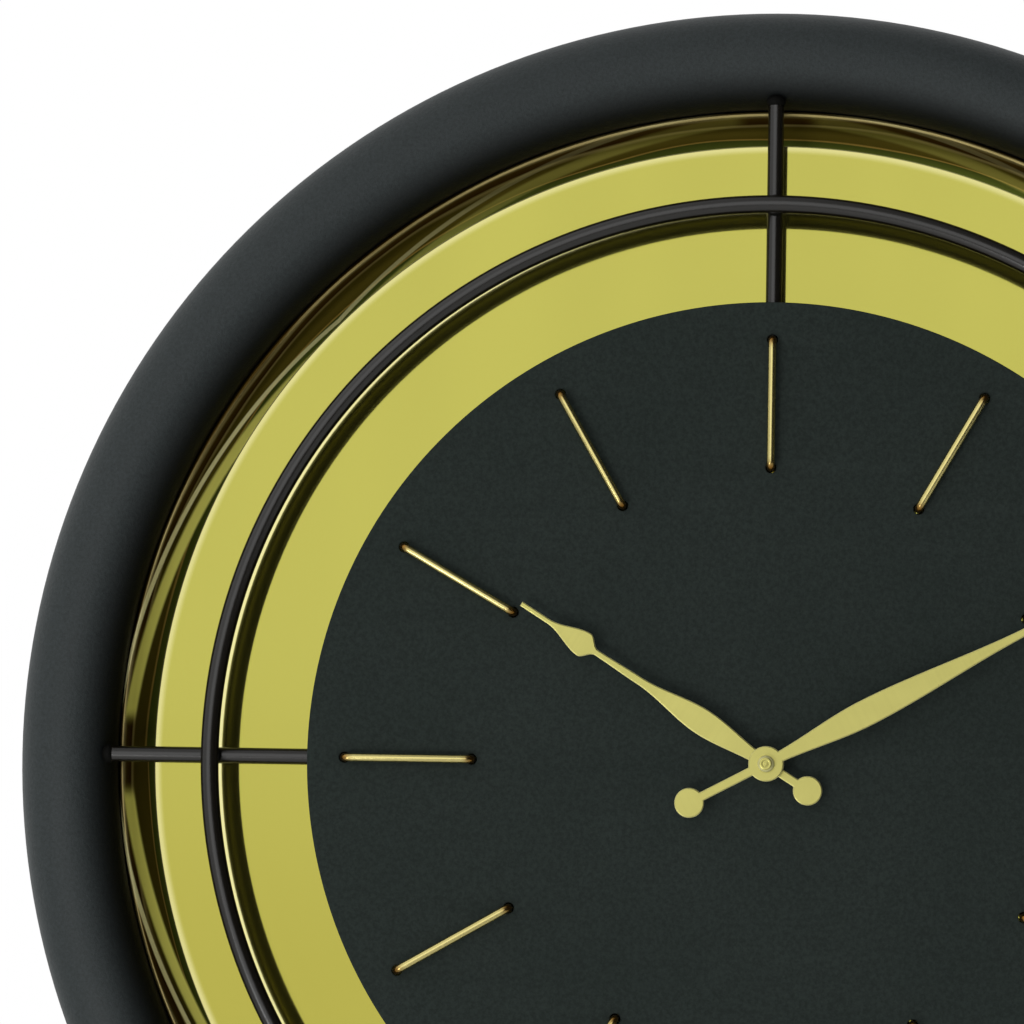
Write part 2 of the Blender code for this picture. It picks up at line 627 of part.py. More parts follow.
def build_electrics():
    """Circuit board, pendulum drive coil, battery and its two contacts."""
    block("circuit_board", CASE_LEFT + 2.2, -19.0, -22.0, 8.0, *LEVELS["board"], "board_green")
    coil_back, coil_front = LEVELS["drive_coil"]
    ring = [(7.0, coil_front), (7.0, coil_back), (2.0, coil_back), (2.0, coil_front)]
    turned("drive_coil", ring, "copper", (0.0, PIVOT_Y - MAGNET_DROP), SMALL_STEPS)
    half, cap_r, cap = BATTERY_LENGTH / 2.0, 2.7, 1.2
    profile = [(0.0, half), (cap_r, half), (cap_r, half - cap), (BATTERY_R, half - cap), (BATTERY_R, -half),
               (0.0, -half)]
    battery = turned("battery", profile, "battery_sleeve", steps=20, closed=False)
    battery.rotation_euler = (0.0, math.radians(90.0), 0.0)
    battery.location = (0.0, BATTERY_Y * MM, BATTERY_LEVEL * MM)
    for name, side in (("contact_positive", 1.0), ("contact_negative", -1.0)):
        near, far = side * (half + GAP), side * (half + GAP + 1.5)
        block(name, min(near, far), max(near, far), BATTERY_Y - 5.0, BATTERY_Y + 5.0, *LEVELS["contacts"],
              "steel")


# ---- rear pan, cover, door, hanger ----

def build_pan():
    """Black pan behind the dish, open at the middle and slotted below for the pendulum."""
    floor_back = COVER_SHEET + GAP
    floor_front = floor_back + PAN_SHEET
    rear_edge = FRAME_LEVEL - FRAME_TUBE_R * math.sin(math.radians(35.0))
    flange_front = rear_edge - GAP
    flange_back = flange_front - PAN_SHEET
    outer = [(FRAME_OUTER_R - 4.5, flange_front), (FRAME_OUTER_R - 4.5, flange_back),
             (253.0, flange_back), (PAN_FOOT_R, floor_back)]
    inner = [(60.0, floor_back), (60.0, floor_front), (PAN_FOOT_R - 1.5, floor_front),
             (251.5, flange_front)]
    pan = turned("rear_pan", outer + inner, "pan_black")
    half = COVER_HALF - 6.0
    cut(pan, block("cover_opening", -half, half, -half, half, -1.0, 10.0))
    cut(pan, block("pendulum_slot", -32.0, 32.0, -262.0, -232.0, floor_front + 0.4, 12.0))
    cut(pan, plate("pan_keyhole", [keyhole()], -1.0, 10.0, "steel"))
    for index, at in enumerate(screw_places(), start=1):
        cut(pan, round_bar(f"pan_screw_hole_{index}", SCREW_R + GAP, -1.0, 10.0, at=at, steps=10))


def keyhole():
    """Keyhole outline: a round entry for the nail's head below a narrow slot."""
    neck, entry = 2.5, 5.5
    low = arc((0.0, HANGER_Y), entry, 90.0 + 27.0, 360.0 + 90.0 - 27.0, 12)
    high = arc((0.0, HANGER_Y + 14.0), neck, 0.0, 180.0, 6)
    return low + high


def build_hanger():
    """Steel plate with the keyhole, riveted behind the pan."""
    plate("hanger_plate", [rectangle(-22.0, 22.0, HANGER_Y - 16.0, HANGER_Y + 28.0), keyhole()],
          0.0, COVER_SHEET, "steel")


def build_rear_cover():
    """Square rear cover with an opening for battery and set knob."""
    door = door_opening(0.0)
    screw_holes = [circle(SCREW_R + GAP, 10, at) for at in screw_places()]
    plate("rear_cover", [rectangle(-COVER_HALF, COVER_HALF, -COVER_HALF, COVER_HALF), door] + screw_holes,
          0.0, COVER_SHEET, "pan_black")


def door_opening(inset):
    """Outline of the opening for battery and knob, made smaller all round by the inset."""
    return rectangle(-32.0 + inset, 32.0 - inset, -47.0 + inset, -6.0 - inset)


def screw_places():
    """Four screws near the cover's corners."""
    out = COVER_HALF - 3.0
    return [(out, out), (-out, out), (-out, -out), (out, -out)]


def build_cover_screws():
    """Flush screws that hold the cover to the pan's floor."""
    for index, at in enumerate(screw_places(), start=1):
        round_bar(f"cover_screw_{index}", SCREW_R, 0.0, 5.0, "steel", at, 10)


def build_battery_door():
    """Door in the rear cover, hinged at its lower edge and held by a snap at the top."""
    plate("battery_door", [door_opening(0.5)], 0.0, COVER_SHEET, "pan_black")


def build_bumpers():
    """Two rubber pads that stand the lower edge off the wall."""
    for index, side in enumerate((-1.0, 1.0), start=1):
        at = (side * 120.0, -190.0)
        round_bar(f"wall_bumper_{index}", 8.0, 0.0, COVER_SHEET, "rubber", at, MID_STEPS)


# ---- pendulum ----

def build_pendulum():
    """Arm on its pin, magnet, rod, bob with back plate, and rating nut."""
    level = PENDULUM_LEVEL
    pin_profile = [(0.0, 12.4), (1.2, 12.4), (1.2, 2.9), (2.6, 2.9), (2.6, 2.2), (0.0, 2.2)]
    turned("pivot_pin", pin_profile, "brass", (0.0, PIVOT_Y), SMALL_STEPS, closed=False)
    arm_low = PIVOT_Y - ARM_LENGTH
    outline = arc((0.0, PIVOT_Y), 4.5, 0.0, 180.0, 8) + [(-4.0, arm_low), (4.0, arm_low)]
    arm = plate("pendulum_arm", [outline, circle(1.2 + GAP, SMALL_STEPS, (0.0, PIVOT_Y))],
                level - ARM_HALF_DEPTH, level + ARM_HALF_DEPTH, "case_plastic")
    socket = rod_along_y("rod_socket", ROD_R + GAP, arm_low - 2.0, arm_low + 9.0)
    cut(arm, socket)
    round_bar("arm_magnet", 3.0, level + ARM_HALF_DEPTH + GAP, COVER_BACK - 2 * GAP, "steel",
              (0.0, PIVOT_Y - MAGNET_DROP))

    rod_low = BOB_Y - BOB_R - 12.0
    rod_along_y("pendulum_rod", ROD_R, rod_low, arm_low + 8.5, "brass")
    back = level + ROD_R + GAP
    rim = back + 1.0 + GAP
    turned("bob_back", [(0.0, back + 1.0), (BOB_R - 1.0, back + 1.0), (BOB_R - 1.0, back), (0.0, back)],
           "rod_black", (0.0, BOB_Y), 40, closed=False)
    dome = [(0.0, rim + 5.0), (BOB_R * 0.45, rim + 4.2), (BOB_R * 0.8, rim + 2.4), (BOB_R, rim + 0.6),
            (BOB_R, rim), (BOB_R * 0.8, rim + 1.3), (BOB_R * 0.45, rim + 3.1), (0.0, rim + 3.9)]
    turned("pendulum_bob", dome, "gold_mirror", (0.0, BOB_Y), 40, closed=False)
    nut = rod_along_y("rating_nut", 4.0, BOB_Y - BOB_R - 9.0, BOB_Y - BOB_R - 4.0, "brass")
    cut(nut, rod_along_y("nut_bore", ROD_R + GAP, rod_low - 2.0, BOB_Y - BOB_R + 5.0))


def rod_along_y(name, radius, low, high, material="steel"):
    """Round bar that runs up and down in the pendulum's plane."""
    rod = round_bar(name, radius, low, high, material, steps=12)
    rod.rotation_euler = (math.radians(-90.0), 0.0, 0.0)
    rod.location = (0.0, 0.0, PENDULUM_LEVEL * MM)
    return rod


def main():
    """Build every sub-part of the clock."""
    for build in (build_frame, build_dish, build_ring, build_spokes, build_dial, build_markers,
                  build_hands, build_centre_fixing, build_case, build_cover, build_hand_train,
                  build_drive_train, build_electrics, build_pan, build_hanger, build_rear_cover,
                  build_cover_screws, build_battery_door, build_bumpers, build_pendulum):
        build()


main()
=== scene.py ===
"""Looks of a round wall clock: black tube frame, gold mirror dish, floating dial, staple markers.

Shapes are drawn in the dial's own plane, in millimetres: X to the right, Y up and Z out of the wall
towards the viewer. The function upright turns that plane into the frame's metres, where the wall is
y = 0, the dial faces -Y and the hands turn about the Y axis.
"""
import json
import logging
import math
from dataclasses import dataclass, field
from enum import Enum
from typing import Iterable, Sequence, Union

import bmesh
import bpy
from mathutils import Euler, Matrix, Vector


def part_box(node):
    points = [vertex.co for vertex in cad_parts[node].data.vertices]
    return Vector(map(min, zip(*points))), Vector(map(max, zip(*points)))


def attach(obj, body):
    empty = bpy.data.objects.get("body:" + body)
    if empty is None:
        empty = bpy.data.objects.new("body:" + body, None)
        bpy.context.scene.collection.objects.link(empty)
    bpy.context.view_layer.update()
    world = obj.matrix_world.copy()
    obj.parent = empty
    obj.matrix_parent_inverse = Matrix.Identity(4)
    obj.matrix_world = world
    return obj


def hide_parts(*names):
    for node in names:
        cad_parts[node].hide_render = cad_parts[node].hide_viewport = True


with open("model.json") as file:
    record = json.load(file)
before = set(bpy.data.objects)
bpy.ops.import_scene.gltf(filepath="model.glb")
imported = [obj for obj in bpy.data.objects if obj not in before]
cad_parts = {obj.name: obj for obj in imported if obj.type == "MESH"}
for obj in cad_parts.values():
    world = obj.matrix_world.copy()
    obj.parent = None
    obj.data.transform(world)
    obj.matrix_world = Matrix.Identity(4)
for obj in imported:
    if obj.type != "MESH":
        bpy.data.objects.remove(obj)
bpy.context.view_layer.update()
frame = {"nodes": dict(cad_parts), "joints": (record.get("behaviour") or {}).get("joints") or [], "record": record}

LOG = logging.getLogger("clock")
MM = 0.001
SCREW_SIDE = 75.0
SCREW_PLACES = [(x, y) for x in (-SCREW_SIDE, SCREW_SIDE) for y in (-SCREW_SIDE, SCREW_SIDE)]
SCREW_HOLE = 1.9
KEYHOLE_Y = 200.0
KEYHOLE_ENTRY = 5.5
KEYHOLE_RISE = 14.0
KEYHOLE_NECK = 2.5
Point2 = tuple[float, float]
Point3 = tuple[float, float, float]
Colour = tuple[float, float, float]
Feed = Union[float, int, bool, str, Sequence[float], bpy.types.NodeSocket, bpy.types.Material]


# ---------------------------------------------------------------- measures taken from the frame

def node_levels(node: str) -> tuple[float, float]:
    """Heights of a CAD node's back and front above the wall, in millimetres."""
    low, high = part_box(node)
    return -high.y / MM, -low.y / MM


def node_centre(node: str) -> Point2:
    """Middle of a CAD node in the dial's plane, in millimetres."""
    low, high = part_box(node)
    return (low.x + high.x) / 2.0 / MM, (low.z + high.z) / 2.0 / MM


def hinge(name: str) -> Vector:
    """Place of a joint at rest, in metres."""
    return Vector(next(joint["pos_m"] for joint in frame["joints"] if joint["name"] == name))


# ---------------------------------------------------------------- node trees

@dataclass
class Wiring:
    """Short-hand for laying out one node tree."""

    tree: bpy.types.NodeTree

    def add(self, kind: str, inputs: dict[Union[str, int], Feed] | None = None,
            **settings: Union[str, int, float, bool]) -> bpy.types.Node:
        """Add a node.

        Args:
            kind: Blender's name for the node type.
            inputs: a value or a socket for each input, by name or index.
            settings: the node's own options.

        Returns:
            The new node.
        """
        node = self.tree.nodes.new(kind)
        for name, value in settings.items():
            setattr(node, name, value)
        for key, value in (inputs or {}).items():
            self.feed(node.inputs[key], value)
        return node

    def feed(self, socket: bpy.types.NodeSocket, value: Feed) -> None:
        """Link a socket to an input, or set the input's own value.

        Args:
            socket: the input.
            value: a socket to link, or a plain value.
        """
        if isinstance(value, bpy.types.NodeSocket):
            self.tree.links.new(value, socket)
        elif socket.type == "RGBA" and len(value) == 3:
            socket.default_value = (*value, 1.0)
        else:
            socket.default_value = value

    def maths(self, operation: str, *values: Feed, clamp: bool = False) -> bpy.types.NodeSocket:
        """Result of a Math node."""
        node = self.add("ShaderNodeMath", dict(enumerate(values)), operation=operation, use_clamp=clamp)
        return node.outputs[0]

    def ramp(self, value: Feed, low: float, high: float, to_low: float = 0.0,
             to_high: float = 1.0) -> bpy.types.NodeSocket:
        """Value mapped from one range to another with eased, clamped ends.

        Args:
            value: what is mapped.
            low: start of its range.
            high: end of its range.
            to_low: result at the start.
            to_high: result at the end.

        Returns:
            The result's socket.
        """
        node = self.add("ShaderNodeMapRange", {"Value": value, "From Min": low, "From Max": high,
                                               "To Min": to_low, "To Max": to_high},
                        interpolation_type="SMOOTHSTEP")
        return node.outputs["Result"]

    def bands(self, value: Feed, stops: Sequence[tuple[float, Colour]]) -> bpy.types.NodeSocket:
        """Colour read off a ramp.

        Args:
            value: where to read it.
            stops: places from 0 to 1, each with its colour.

        Returns:
            The colour's socket.
        """
        node = self.add("ShaderNodeValToRGB", {"Fac": value})
        marks = node.color_ramp.elements
        for index, (at, colour) in enumerate(stops):
            mark = marks[index] if index < len(marks) else marks.new(at)
            mark.position = at
            mark.color = (*colour, 1.0)
        return node.outputs["Color"]

    def blend(self, factor: Feed, first: Feed, second: Feed, how: str = "MIX") -> bpy.types.NodeSocket:
        """Colour mixed from two others.

        Args:
            factor: share of the second, 0 to 1.
            first: colour at 0.
            second: colour at 1.
            how: blend type.

        Returns:
            The colour's socket.
        """
        node = self.add("ShaderNodeMix", data_type="RGBA", blend_type=how)
        self.feed(node.inputs[0], factor)
        self.feed(node.inputs[6], first)
        self.feed(node.inputs[7], second)
        return node.outputs[2]


class SharedEffect:
    """A shader node group that several finishes place with their own values."""

    name = "effect"
    inputs: dict[str, tuple[str, float]] = {}
    outputs: dict[str, str] = {}

    @classmethod
    def group(cls) -> bpy.types.NodeTree:
        """The effect's node tree, built the first time it is asked for.

        Returns:
            The group, with its named sockets.
        """
        tree = bpy.data.node_groups.get(cls.name)
        if tree:
            return tree
        tree = bpy.data.node_groups.new(cls.name, "ShaderNodeTree")
        for name, (kind, value) in cls.inputs.items():
            socket = tree.interface.new_socket(name, in_out="INPUT", socket_type=f"NodeSocket{kind}")
            if kind == "Float":
                socket.default_value = value
        for name, kind in cls.outputs.items():
            tree.interface.new_socket(name, in_out="OUTPUT", socket_type=f"NodeSocket{kind}")
        wiring = Wiring(tree)
        source = wiring.add("NodeGroupInput")
        sink = wiring.add("NodeGroupOutput")
        cls.lay_out(wiring, source, sink)
        return tree

    @classmethod
    def lay_out(cls, wiring: Wiring, source: bpy.types.Node, sink: bpy.types.Node) -> None:
        """Build the inside of the group.

        Args:
            wiring: the group's wiring.
            source: its input node.
            sink: its output node.
        """
        raise NotImplementedError

    @classmethod
    def place(cls, wiring: Wiring, **values: Feed) -> bpy.types.Node:
        """Put the effect in a material.

        Args:
            wiring: the material's wiring.
            values: a value or a socket for each input, by name in lower case.

        Returns:
            The group node.
        """
        node = wiring.add("ShaderNodeGroup")
        node.node_tree = cls.group()
        for name, value in values.items():
            wiring.feed(node.inputs[name.capitalize()], value)
        return node


class FineGrain(SharedEffect):
    """Two sizes of cellular grain: powder coat, spark-eroded plastic or a flocked dial."""

    name = "fine_grain"
    inputs = {"Vector": ("Vector", 0.0), "Size": ("Float", 1500.0), "Contrast": ("Float", 1.0)}
    outputs = {"Height": "Float", "Shade": "Float"}

    @classmethod
    def lay_out(cls, wiring: Wiring, source: bpy.types.Node, sink: bpy.types.Node) -> None:
        """Mix a coarse and a fine noise for the height, and stretch their contrast for the shade."""
        vector, size = source.outputs["Vector"], source.outputs["Size"]
        coarse = wiring.add("ShaderNodeTexNoise", {"Vector": vector, "Scale": size, "Detail": 2.0})
        fine_size = wiring.maths("MULTIPLY", size, 2.7)
        fine = wiring.add("ShaderNodeTexNoise", {"Vector": vector, "Scale": fine_size, "Detail": 1.0})
        height = wiring.maths("MULTIPLY_ADD", fine.outputs["Fac"], 0.4,
                              wiring.maths("MULTIPLY", coarse.outputs["Fac"], 0.6))
        spread = wiring.maths("MULTIPLY", wiring.maths("SUBTRACT", height, 0.5), source.outputs["Contrast"])
        wiring.feed(sink.inputs["Height"], height)
        wiring.feed(sink.inputs["Shade"], wiring.maths("ADD", spread, 0.5, clamp=True))


class SoftMottle(SharedEffect):
    """Large cloudy variation, from handling, dust and uneven coats."""

    name = "soft_mottle"
    inputs = {"Vector": ("Vector", 0.0), "Size": ("Float", 8.0), "Amount": ("Float", 1.0)}
    outputs = {"Shade": "Float", "Specks": "Float"}

    @classmethod
    def lay_out(cls, wiring: Wiring, source: bpy.types.Node, sink: bpy.types.Node) -> None:
        """Cloud noise for the shade and sparse small cells for dust specks."""
        vector = source.outputs["Vector"]
        cloud = wiring.add("ShaderNodeTexNoise", {"Vector": vector, "Scale": source.outputs["Size"],
                                                  "Detail": 4.0, "Roughness": 0.6})
        spread = wiring.maths("MULTIPLY", wiring.maths("SUBTRACT", cloud.outputs["Fac"], 0.5),
                              source.outputs["Amount"])
        cells = wiring.add("ShaderNodeTexVoronoi", {"Vector": vector, "Scale": 340.0})
        speck = wiring.ramp(cells.outputs["Distance"], 0.05, 0.11, 1.0, 0.0)
        chosen = wiring.maths("GREATER_THAN", wiring.add(
            "ShaderNodeSeparateColor", {"Color": cells.outputs["Color"]}).outputs[0], 0.86)
        wiring.feed(sink.inputs["Shade"], wiring.maths("ADD", spread, 0.5, clamp=True))
        wiring.feed(sink.inputs["Specks"], wiring.maths("MULTIPLY", speck, chosen))


class DialPlaces(SharedEffect):
    """Where a point lies on the clock: radius and height in millimetres, bearing in degrees."""

    name = "dial_places"
    inputs = {"Vector": ("Vector", 0.0)}
    outputs = {"Radius": "Float", "Bearing": "Float", "Level": "Float"}

    @classmethod
    def lay_out(cls, wiring: Wiring, source: bpy.types.Node, sink: bpy.types.Node) -> None:
        """Turn metres into a radius, a bearing anticlockwise from the right, and a level."""
        parts = wiring.add("ShaderNodeSeparateXYZ", {"Vector": source.outputs["Vector"]})
        x, y, z = parts.outputs
        flat = wiring.maths("ADD", wiring.maths("MULTIPLY", x, x), wiring.maths("MULTIPLY", z, z))
        wiring.feed(sink.inputs["Radius"], wiring.maths("MULTIPLY", wiring.maths("SQRT", flat), 1000.0))
        bearing = wiring.maths("DEGREES", wiring.maths("ARCTAN2", z, x))
        wiring.feed(sink.inputs["Bearing"], bearing)
        wiring.feed(sink.inputs["Level"], wiring.maths("MULTIPLY", y, -1000.0))


class TurningMarks(SharedEffect):
    """Fine lathe rings and polishing lines round an axis."""

    name = "turning_marks"
    inputs = {"Vector": ("Vector", 0.0), "Pitch": ("Float", 6000.0)}
    outputs = {"Height": "Float"}

    @classmethod
    def lay_out(cls, wiring: Wiring, source: bpy.types.Node, sink: bpy.types.Node) -> None:
        """Noise that changes quickly with the distance from the axis and slowly along it."""
        length = wiring.add("ShaderNodeVectorMath", {0: source.outputs["Vector"]}, operation="LENGTH")
        at = wiring.add("ShaderNodeCombineXYZ", {"X": length.outputs["Value"]})
        rings = wiring.add("ShaderNodeTexNoise", {"Vector": at.outputs[0], "Scale": source.outputs["Pitch"],
                                                  "Detail": 2.0})
        wiring.feed(sink.inputs["Height"], rings.outputs["Fac"])


# ---------------------------------------------------------------- finishes

@dataclass(frozen=True)
class Finish:
    """A procedural material. Subclasses dress the Principled shader."""

    name: str
    colour: Colour
    roughness: float = 0.5
    metallic: float = 0.0
    specular: float = 0.5
    coat: float = 0.0

    def material(self) -> bpy.types.Material:
        """The finish's material, built once.

        Returns:
            The material, with its nodes laid out by dress.
        """
        title = self.name + "_finish"
        material = bpy.data.materials.get(title)
        if material:
            return material
        material = bpy.data.materials.new(title)
        material.use_nodes = True
        material.diffuse_color = (*self.colour, 1.0)
        wiring = Wiring(material.node_tree)
        shader = material.node_tree.nodes["Principled BSDF"]
        wiring.feed(shader.inputs["Base Color"], self.colour)
        shader.inputs["Roughness"].default_value = self.roughness
        shader.inputs["Metallic"].default_value = self.metallic
        shader.inputs["Specular IOR Level"].default_value = self.specular
        shader.inputs["Coat Weight"].default_value = self.coat
        coordinates = wiring.add("ShaderNodeTexCoord").outputs["Object"]
        self.dress(wiring, shader, coordinates)
        return material

    def dress(self, wiring: Wiring, shader: bpy.types.Node, vector: bpy.types.NodeSocket) -> None:
        """Lay out what changes over the surface.

        Args:
            wiring: the material's wiring.
            shader: its Principled shader.
            vector: object coordinates.
        """
        raise NotImplementedError

    def darker(self, share: float) -> Colour:
        """The finish's colour scaled by a share."""
        return tuple(channel * share for channel in self.colour)

    def bump(self, wiring: Wiring, shader: bpy.types.Node, height: Feed, strength: float,
             depth: float) -> None:
        """Raise the surface by a height.

        Args:
            wiring: the material's wiring.
            shader: its Principled shader.
            height: what raises it, 0 to 1.
            strength: how much of the bump shows.
            depth: the height's full size, in metres.
        """
        node = wiring.add("ShaderNodeBump", {"Height": height, "Strength": strength, "Distance": depth})
        wiring.feed(shader.inputs["Normal"], node.outputs["Normal"])


@dataclass(frozen=True)
class Coated(Finish):
    """Powder coat, moulded plastic or rubber: fine grain over soft clouds, with a little dust."""

    grain_size: float = 1500.0
    grain_depth: float = 0.00012
    grain_strength: float = 0.5
    contrast: float = 1.2
    mottle: float = 0.8
    dust: float = 0.15
    # radii in millimetres across which painted shade darkens the coat towards the clock's axis
    painted_shade_inside: Point2 | None = None

    def dress(self, wiring: Wiring, shader: bpy.types.Node, vector: bpy.types.NodeSocket) -> None:
        """Grain in colour, roughness and bump, and painted shade towards the clock's axis when it is asked for."""
        grain = FineGrain.place(wiring, vector=vector, size=self.grain_size, contrast=self.contrast)
        cloud = SoftMottle.place(wiring, vector=vector, size=14.0, amount=self.mottle)
        base = wiring.blend(grain.outputs["Shade"], self.darker(0.72), self.darker(1.28))
        base = wiring.blend(wiring.maths("MULTIPLY", cloud.outputs["Shade"], 0.5), base, self.darker(0.82))
        pale = tuple(min(1.0, channel + 0.10) for channel in self.colour)
        specks = wiring.maths("MULTIPLY", cloud.outputs["Specks"], self.dust)
        base = wiring.blend(specks, base, pale)
        # painted shade: the coat darkens towards the axis, on the frame's inner side where little light falls
        if self.painted_shade_inside:
            radius = DialPlaces.place(wiring, vector=vector).outputs["Radius"]
            base = wiring.blend(wiring.ramp(radius, *self.painted_shade_inside, 1.0, 0.0), base, self.darker(0.06))
        wiring.feed(shader.inputs["Base Color"], base)
        wiring.feed(shader.inputs["Roughness"], wiring.ramp(cloud.outputs["Shade"], 0.0, 1.0,
                                                           self.roughness - 0.07, self.roughness + 0.07))
        self.bump(wiring, shader, grain.outputs["Height"], self.grain_strength, self.grain_depth)


@dataclass(frozen=True)
class MirrorGold(Finish):
    """Polished gold sheet: faint clouds, diagonal sweeps, painted shade below, painted highlights at the floor's
    edge and a steep rim banded with painted reflections.
    """

    rim_from: float = 249.0
    rim_to: float = 262.2
    rim_roughness: float = 0.26
    rim_metallic: float = 0.75
    # metallic of the painted reflection streaks
    streak_metallic: float = 0.10
    # radius of a painted highlight line on the floor, under the wire ring
    under_ring: float = 222.5
    # colour of the painted shade on the lower floor
    shaded: Colour = (0.445, 0.396, 0.060)
    # colour of the painted highlights at the floor's edge, under the ring and in the rim's thin line
    pale: Colour = (0.95, 0.88, 0.42)
    lean: float = 0.30
    # painted reflections on the rim: dark bands for the mirrored black frame, pale lines for the lit surroundings
    rim_reflection_bands: Sequence[tuple[float, Colour]] = (
        (0.0, (0.09, 0.11, 0.015)), (0.20, (0.065, 0.08, 0.010)), (0.23, (0.40, 0.26, 0.05)),
        (0.27, (0.10, 0.075, 0.008)), (0.60, (0.13, 0.10, 0.012)), (0.66, (0.50, 0.40, 0.14)),
        (0.70, (0.07, 0.03, 0.003)), (0.80, (0.12, 0.07, 0.010)), (0.86, (0.60, 0.49, 0.20)),
        (0.95, (0.10, 0.06, 0.010)))

    def dress(self, wiring: Wiring, shader: bpy.types.Node, vector: bpy.types.NodeSocket) -> None:
        """Colour the floor, then the rim outside it."""
        cloud = SoftMottle.place(wiring, vector=vector, size=5.0, amount=1.0)
        place = DialPlaces.place(wiring, vector=vector)
        radius = place.outputs["Radius"]
        rim = wiring.ramp(radius, self.rim_from, self.rim_from + 0.4)
        base = self.floor_colour(wiring, vector, radius)
        base = wiring.blend(wiring.maths("MULTIPLY", cloud.outputs["Shade"], 0.10), base, self.darker(0.8))
        # the rim's colour and metallic are painted reflections
        painted_rim_reflections, reflection_streaks = self.painted_rim_reflections(wiring, radius, place.outputs["Bearing"])
        rim_metallic = wiring.ramp(reflection_streaks, 0.0, 1.0, self.rim_metallic, self.streak_metallic)
        wiring.feed(shader.inputs["Metallic"], wiring.ramp(rim, 0.0, 1.0, self.metallic, rim_metallic))
        wiring.feed(shader.inputs["Base Color"], wiring.blend(rim, base, painted_rim_reflections))
        floor_rough = wiring.ramp(cloud.outputs["Shade"], 0.2, 0.9, self.roughness, self.roughness + 0.05)
        wiring.feed(shader.inputs["Roughness"], wiring.maths(
            "ADD", floor_rough, wiring.maths("MULTIPLY", rim, self.rim_roughness)))
        height = wiring.add("ShaderNodeTexNoise", {"Vector": vector, "Scale": 16.0, "Detail": 1.0})
        self.bump(wiring, shader, height.outputs["Fac"], 0.05, 0.0006)

    def floor_colour(self, wiring: Wiring, vector: Feed, radius: Feed) -> bpy.types.NodeSocket:
        """Colour of the flat floor.

        Args:
            wiring: the material's wiring.
            vector: Object coordinates.
            radius: distance from the clock's axis, in millimetres.

        Returns:
            Gold with diagonal sweeps, painted shade that makes it more olive below, and painted highlights at its
            edge and under the ring.
        """
        turned_by = wiring.add("ShaderNodeMapping", {"Vector": vector, "Rotation": (0.0, 0.65, 0.0),
                                                     "Scale": (14.0, 1.0, 2.2)})
        sweep = wiring.add("ShaderNodeTexNoise", {"Vector": turned_by.outputs[0], "Scale": 1.0,
                                                  "Detail": 1.0})
        sweeps = wiring.ramp(sweep.outputs["Fac"], 0.42, 0.66)
        # painted shade: the floor turns olive towards the bottom
        below = wiring.ramp(wiring.add("ShaderNodeSeparateXYZ", {"Vector": vector}).outputs["Z"],
                            -0.10, 0.06, 1.0, 0.0)
        base = wiring.blend(wiring.maths("MULTIPLY", sweeps, 0.12), self.colour, self.darker(1.35))
        base = wiring.blend(wiring.maths("MULTIPLY", below, 0.55), base, self.shaded)
        # painted highlights: a pale glow at the floor's edge and a pale line under the wire ring
        edge = wiring.ramp(radius, self.rim_from - 3.2, self.rim_from - 0.4)
        off_ring = wiring.maths("ABSOLUTE", wiring.maths("SUBTRACT", radius, self.under_ring))
        line = wiring.ramp(off_ring, 0.4, 1.1, 1.0, 0.0)
        painted_highlight = wiring.maths("MAXIMUM", wiring.maths("MULTIPLY", edge, 0.6), line)
        return wiring.blend(painted_highlight, base, self.pale)

    def painted_rim_reflections(self, wiring: Wiring, radius: Feed,
                   bearing: Feed) -> tuple[bpy.types.NodeSocket, bpy.types.NodeSocket]:
        """Colour of the steep rim, all painted reflection.

        Args:
            wiring: the material's wiring.
            radius: distance from the clock's axis, in millimetres.
            bearing: angle anticlockwise from the right, in degrees.

        Returns:
            Bands of painted reflection from the floor's edge to the lip, with painted reflected streaks that lean
            away from each spoke, and the streaks' mask.
        """
        along = wiring.add("ShaderNodeCombineXYZ", {"X": wiring.maths("MULTIPLY", radius, 0.10),
                                                    "Y": wiring.maths("MULTIPLY", bearing, 0.045)})
        drift = wiring.add("ShaderNodeTexNoise", {"Vector": along.outputs[0], "Scale": 1.0, "Detail": 1.0})
        shift = wiring.maths("MULTIPLY", wiring.maths("SUBTRACT", drift.outputs["Fac"], 0.5), 5.0)
        moved = wiring.maths("ADD", radius, shift)
        share = wiring.maths("DIVIDE", wiring.maths("SUBTRACT", moved, self.rim_from),
                             self.rim_to - self.rim_from)
        bands = wiring.bands(share, self.rim_reflection_bands)
        # painted reflected streaks, strongest on the left and fading at each spoke
        from_spoke = wiring.maths("PINGPONG", bearing, 45.0)
        crest = wiring.maths("SUBTRACT", self.rim_to - 2.4, wiring.maths("MULTIPLY", from_spoke, self.lean))
        broad = self.line(wiring, radius, crest, 2.0)
        thin = self.line(wiring, radius, wiring.maths("ADD", crest, 4.2), 0.8)
        left = wiring.ramp(wiring.maths("ABSOLUTE", bearing), 110.0, 165.0, 0.22, 1.0)
        left = wiring.maths("MULTIPLY", left, wiring.ramp(from_spoke, 2.4, 4.2))
        broad, thin = wiring.maths("MULTIPLY", broad, left), wiring.maths("MULTIPLY", thin, left)
        bands = wiring.blend(thin, wiring.blend(broad, bands, self.darker(1.5)), self.pale)
        return bands, wiring.maths("MAXIMUM", broad, thin)

    def line(self, wiring: Wiring, radius: Feed, centre: Feed, half: float) -> bpy.types.NodeSocket:
        """Mask of a soft line at a radius."""
        off = wiring.maths("ABSOLUTE", wiring.maths("SUBTRACT", radius, centre))
        return wiring.ramp(off, half * 0.6, half * 1.2, 1.0, 0.0)


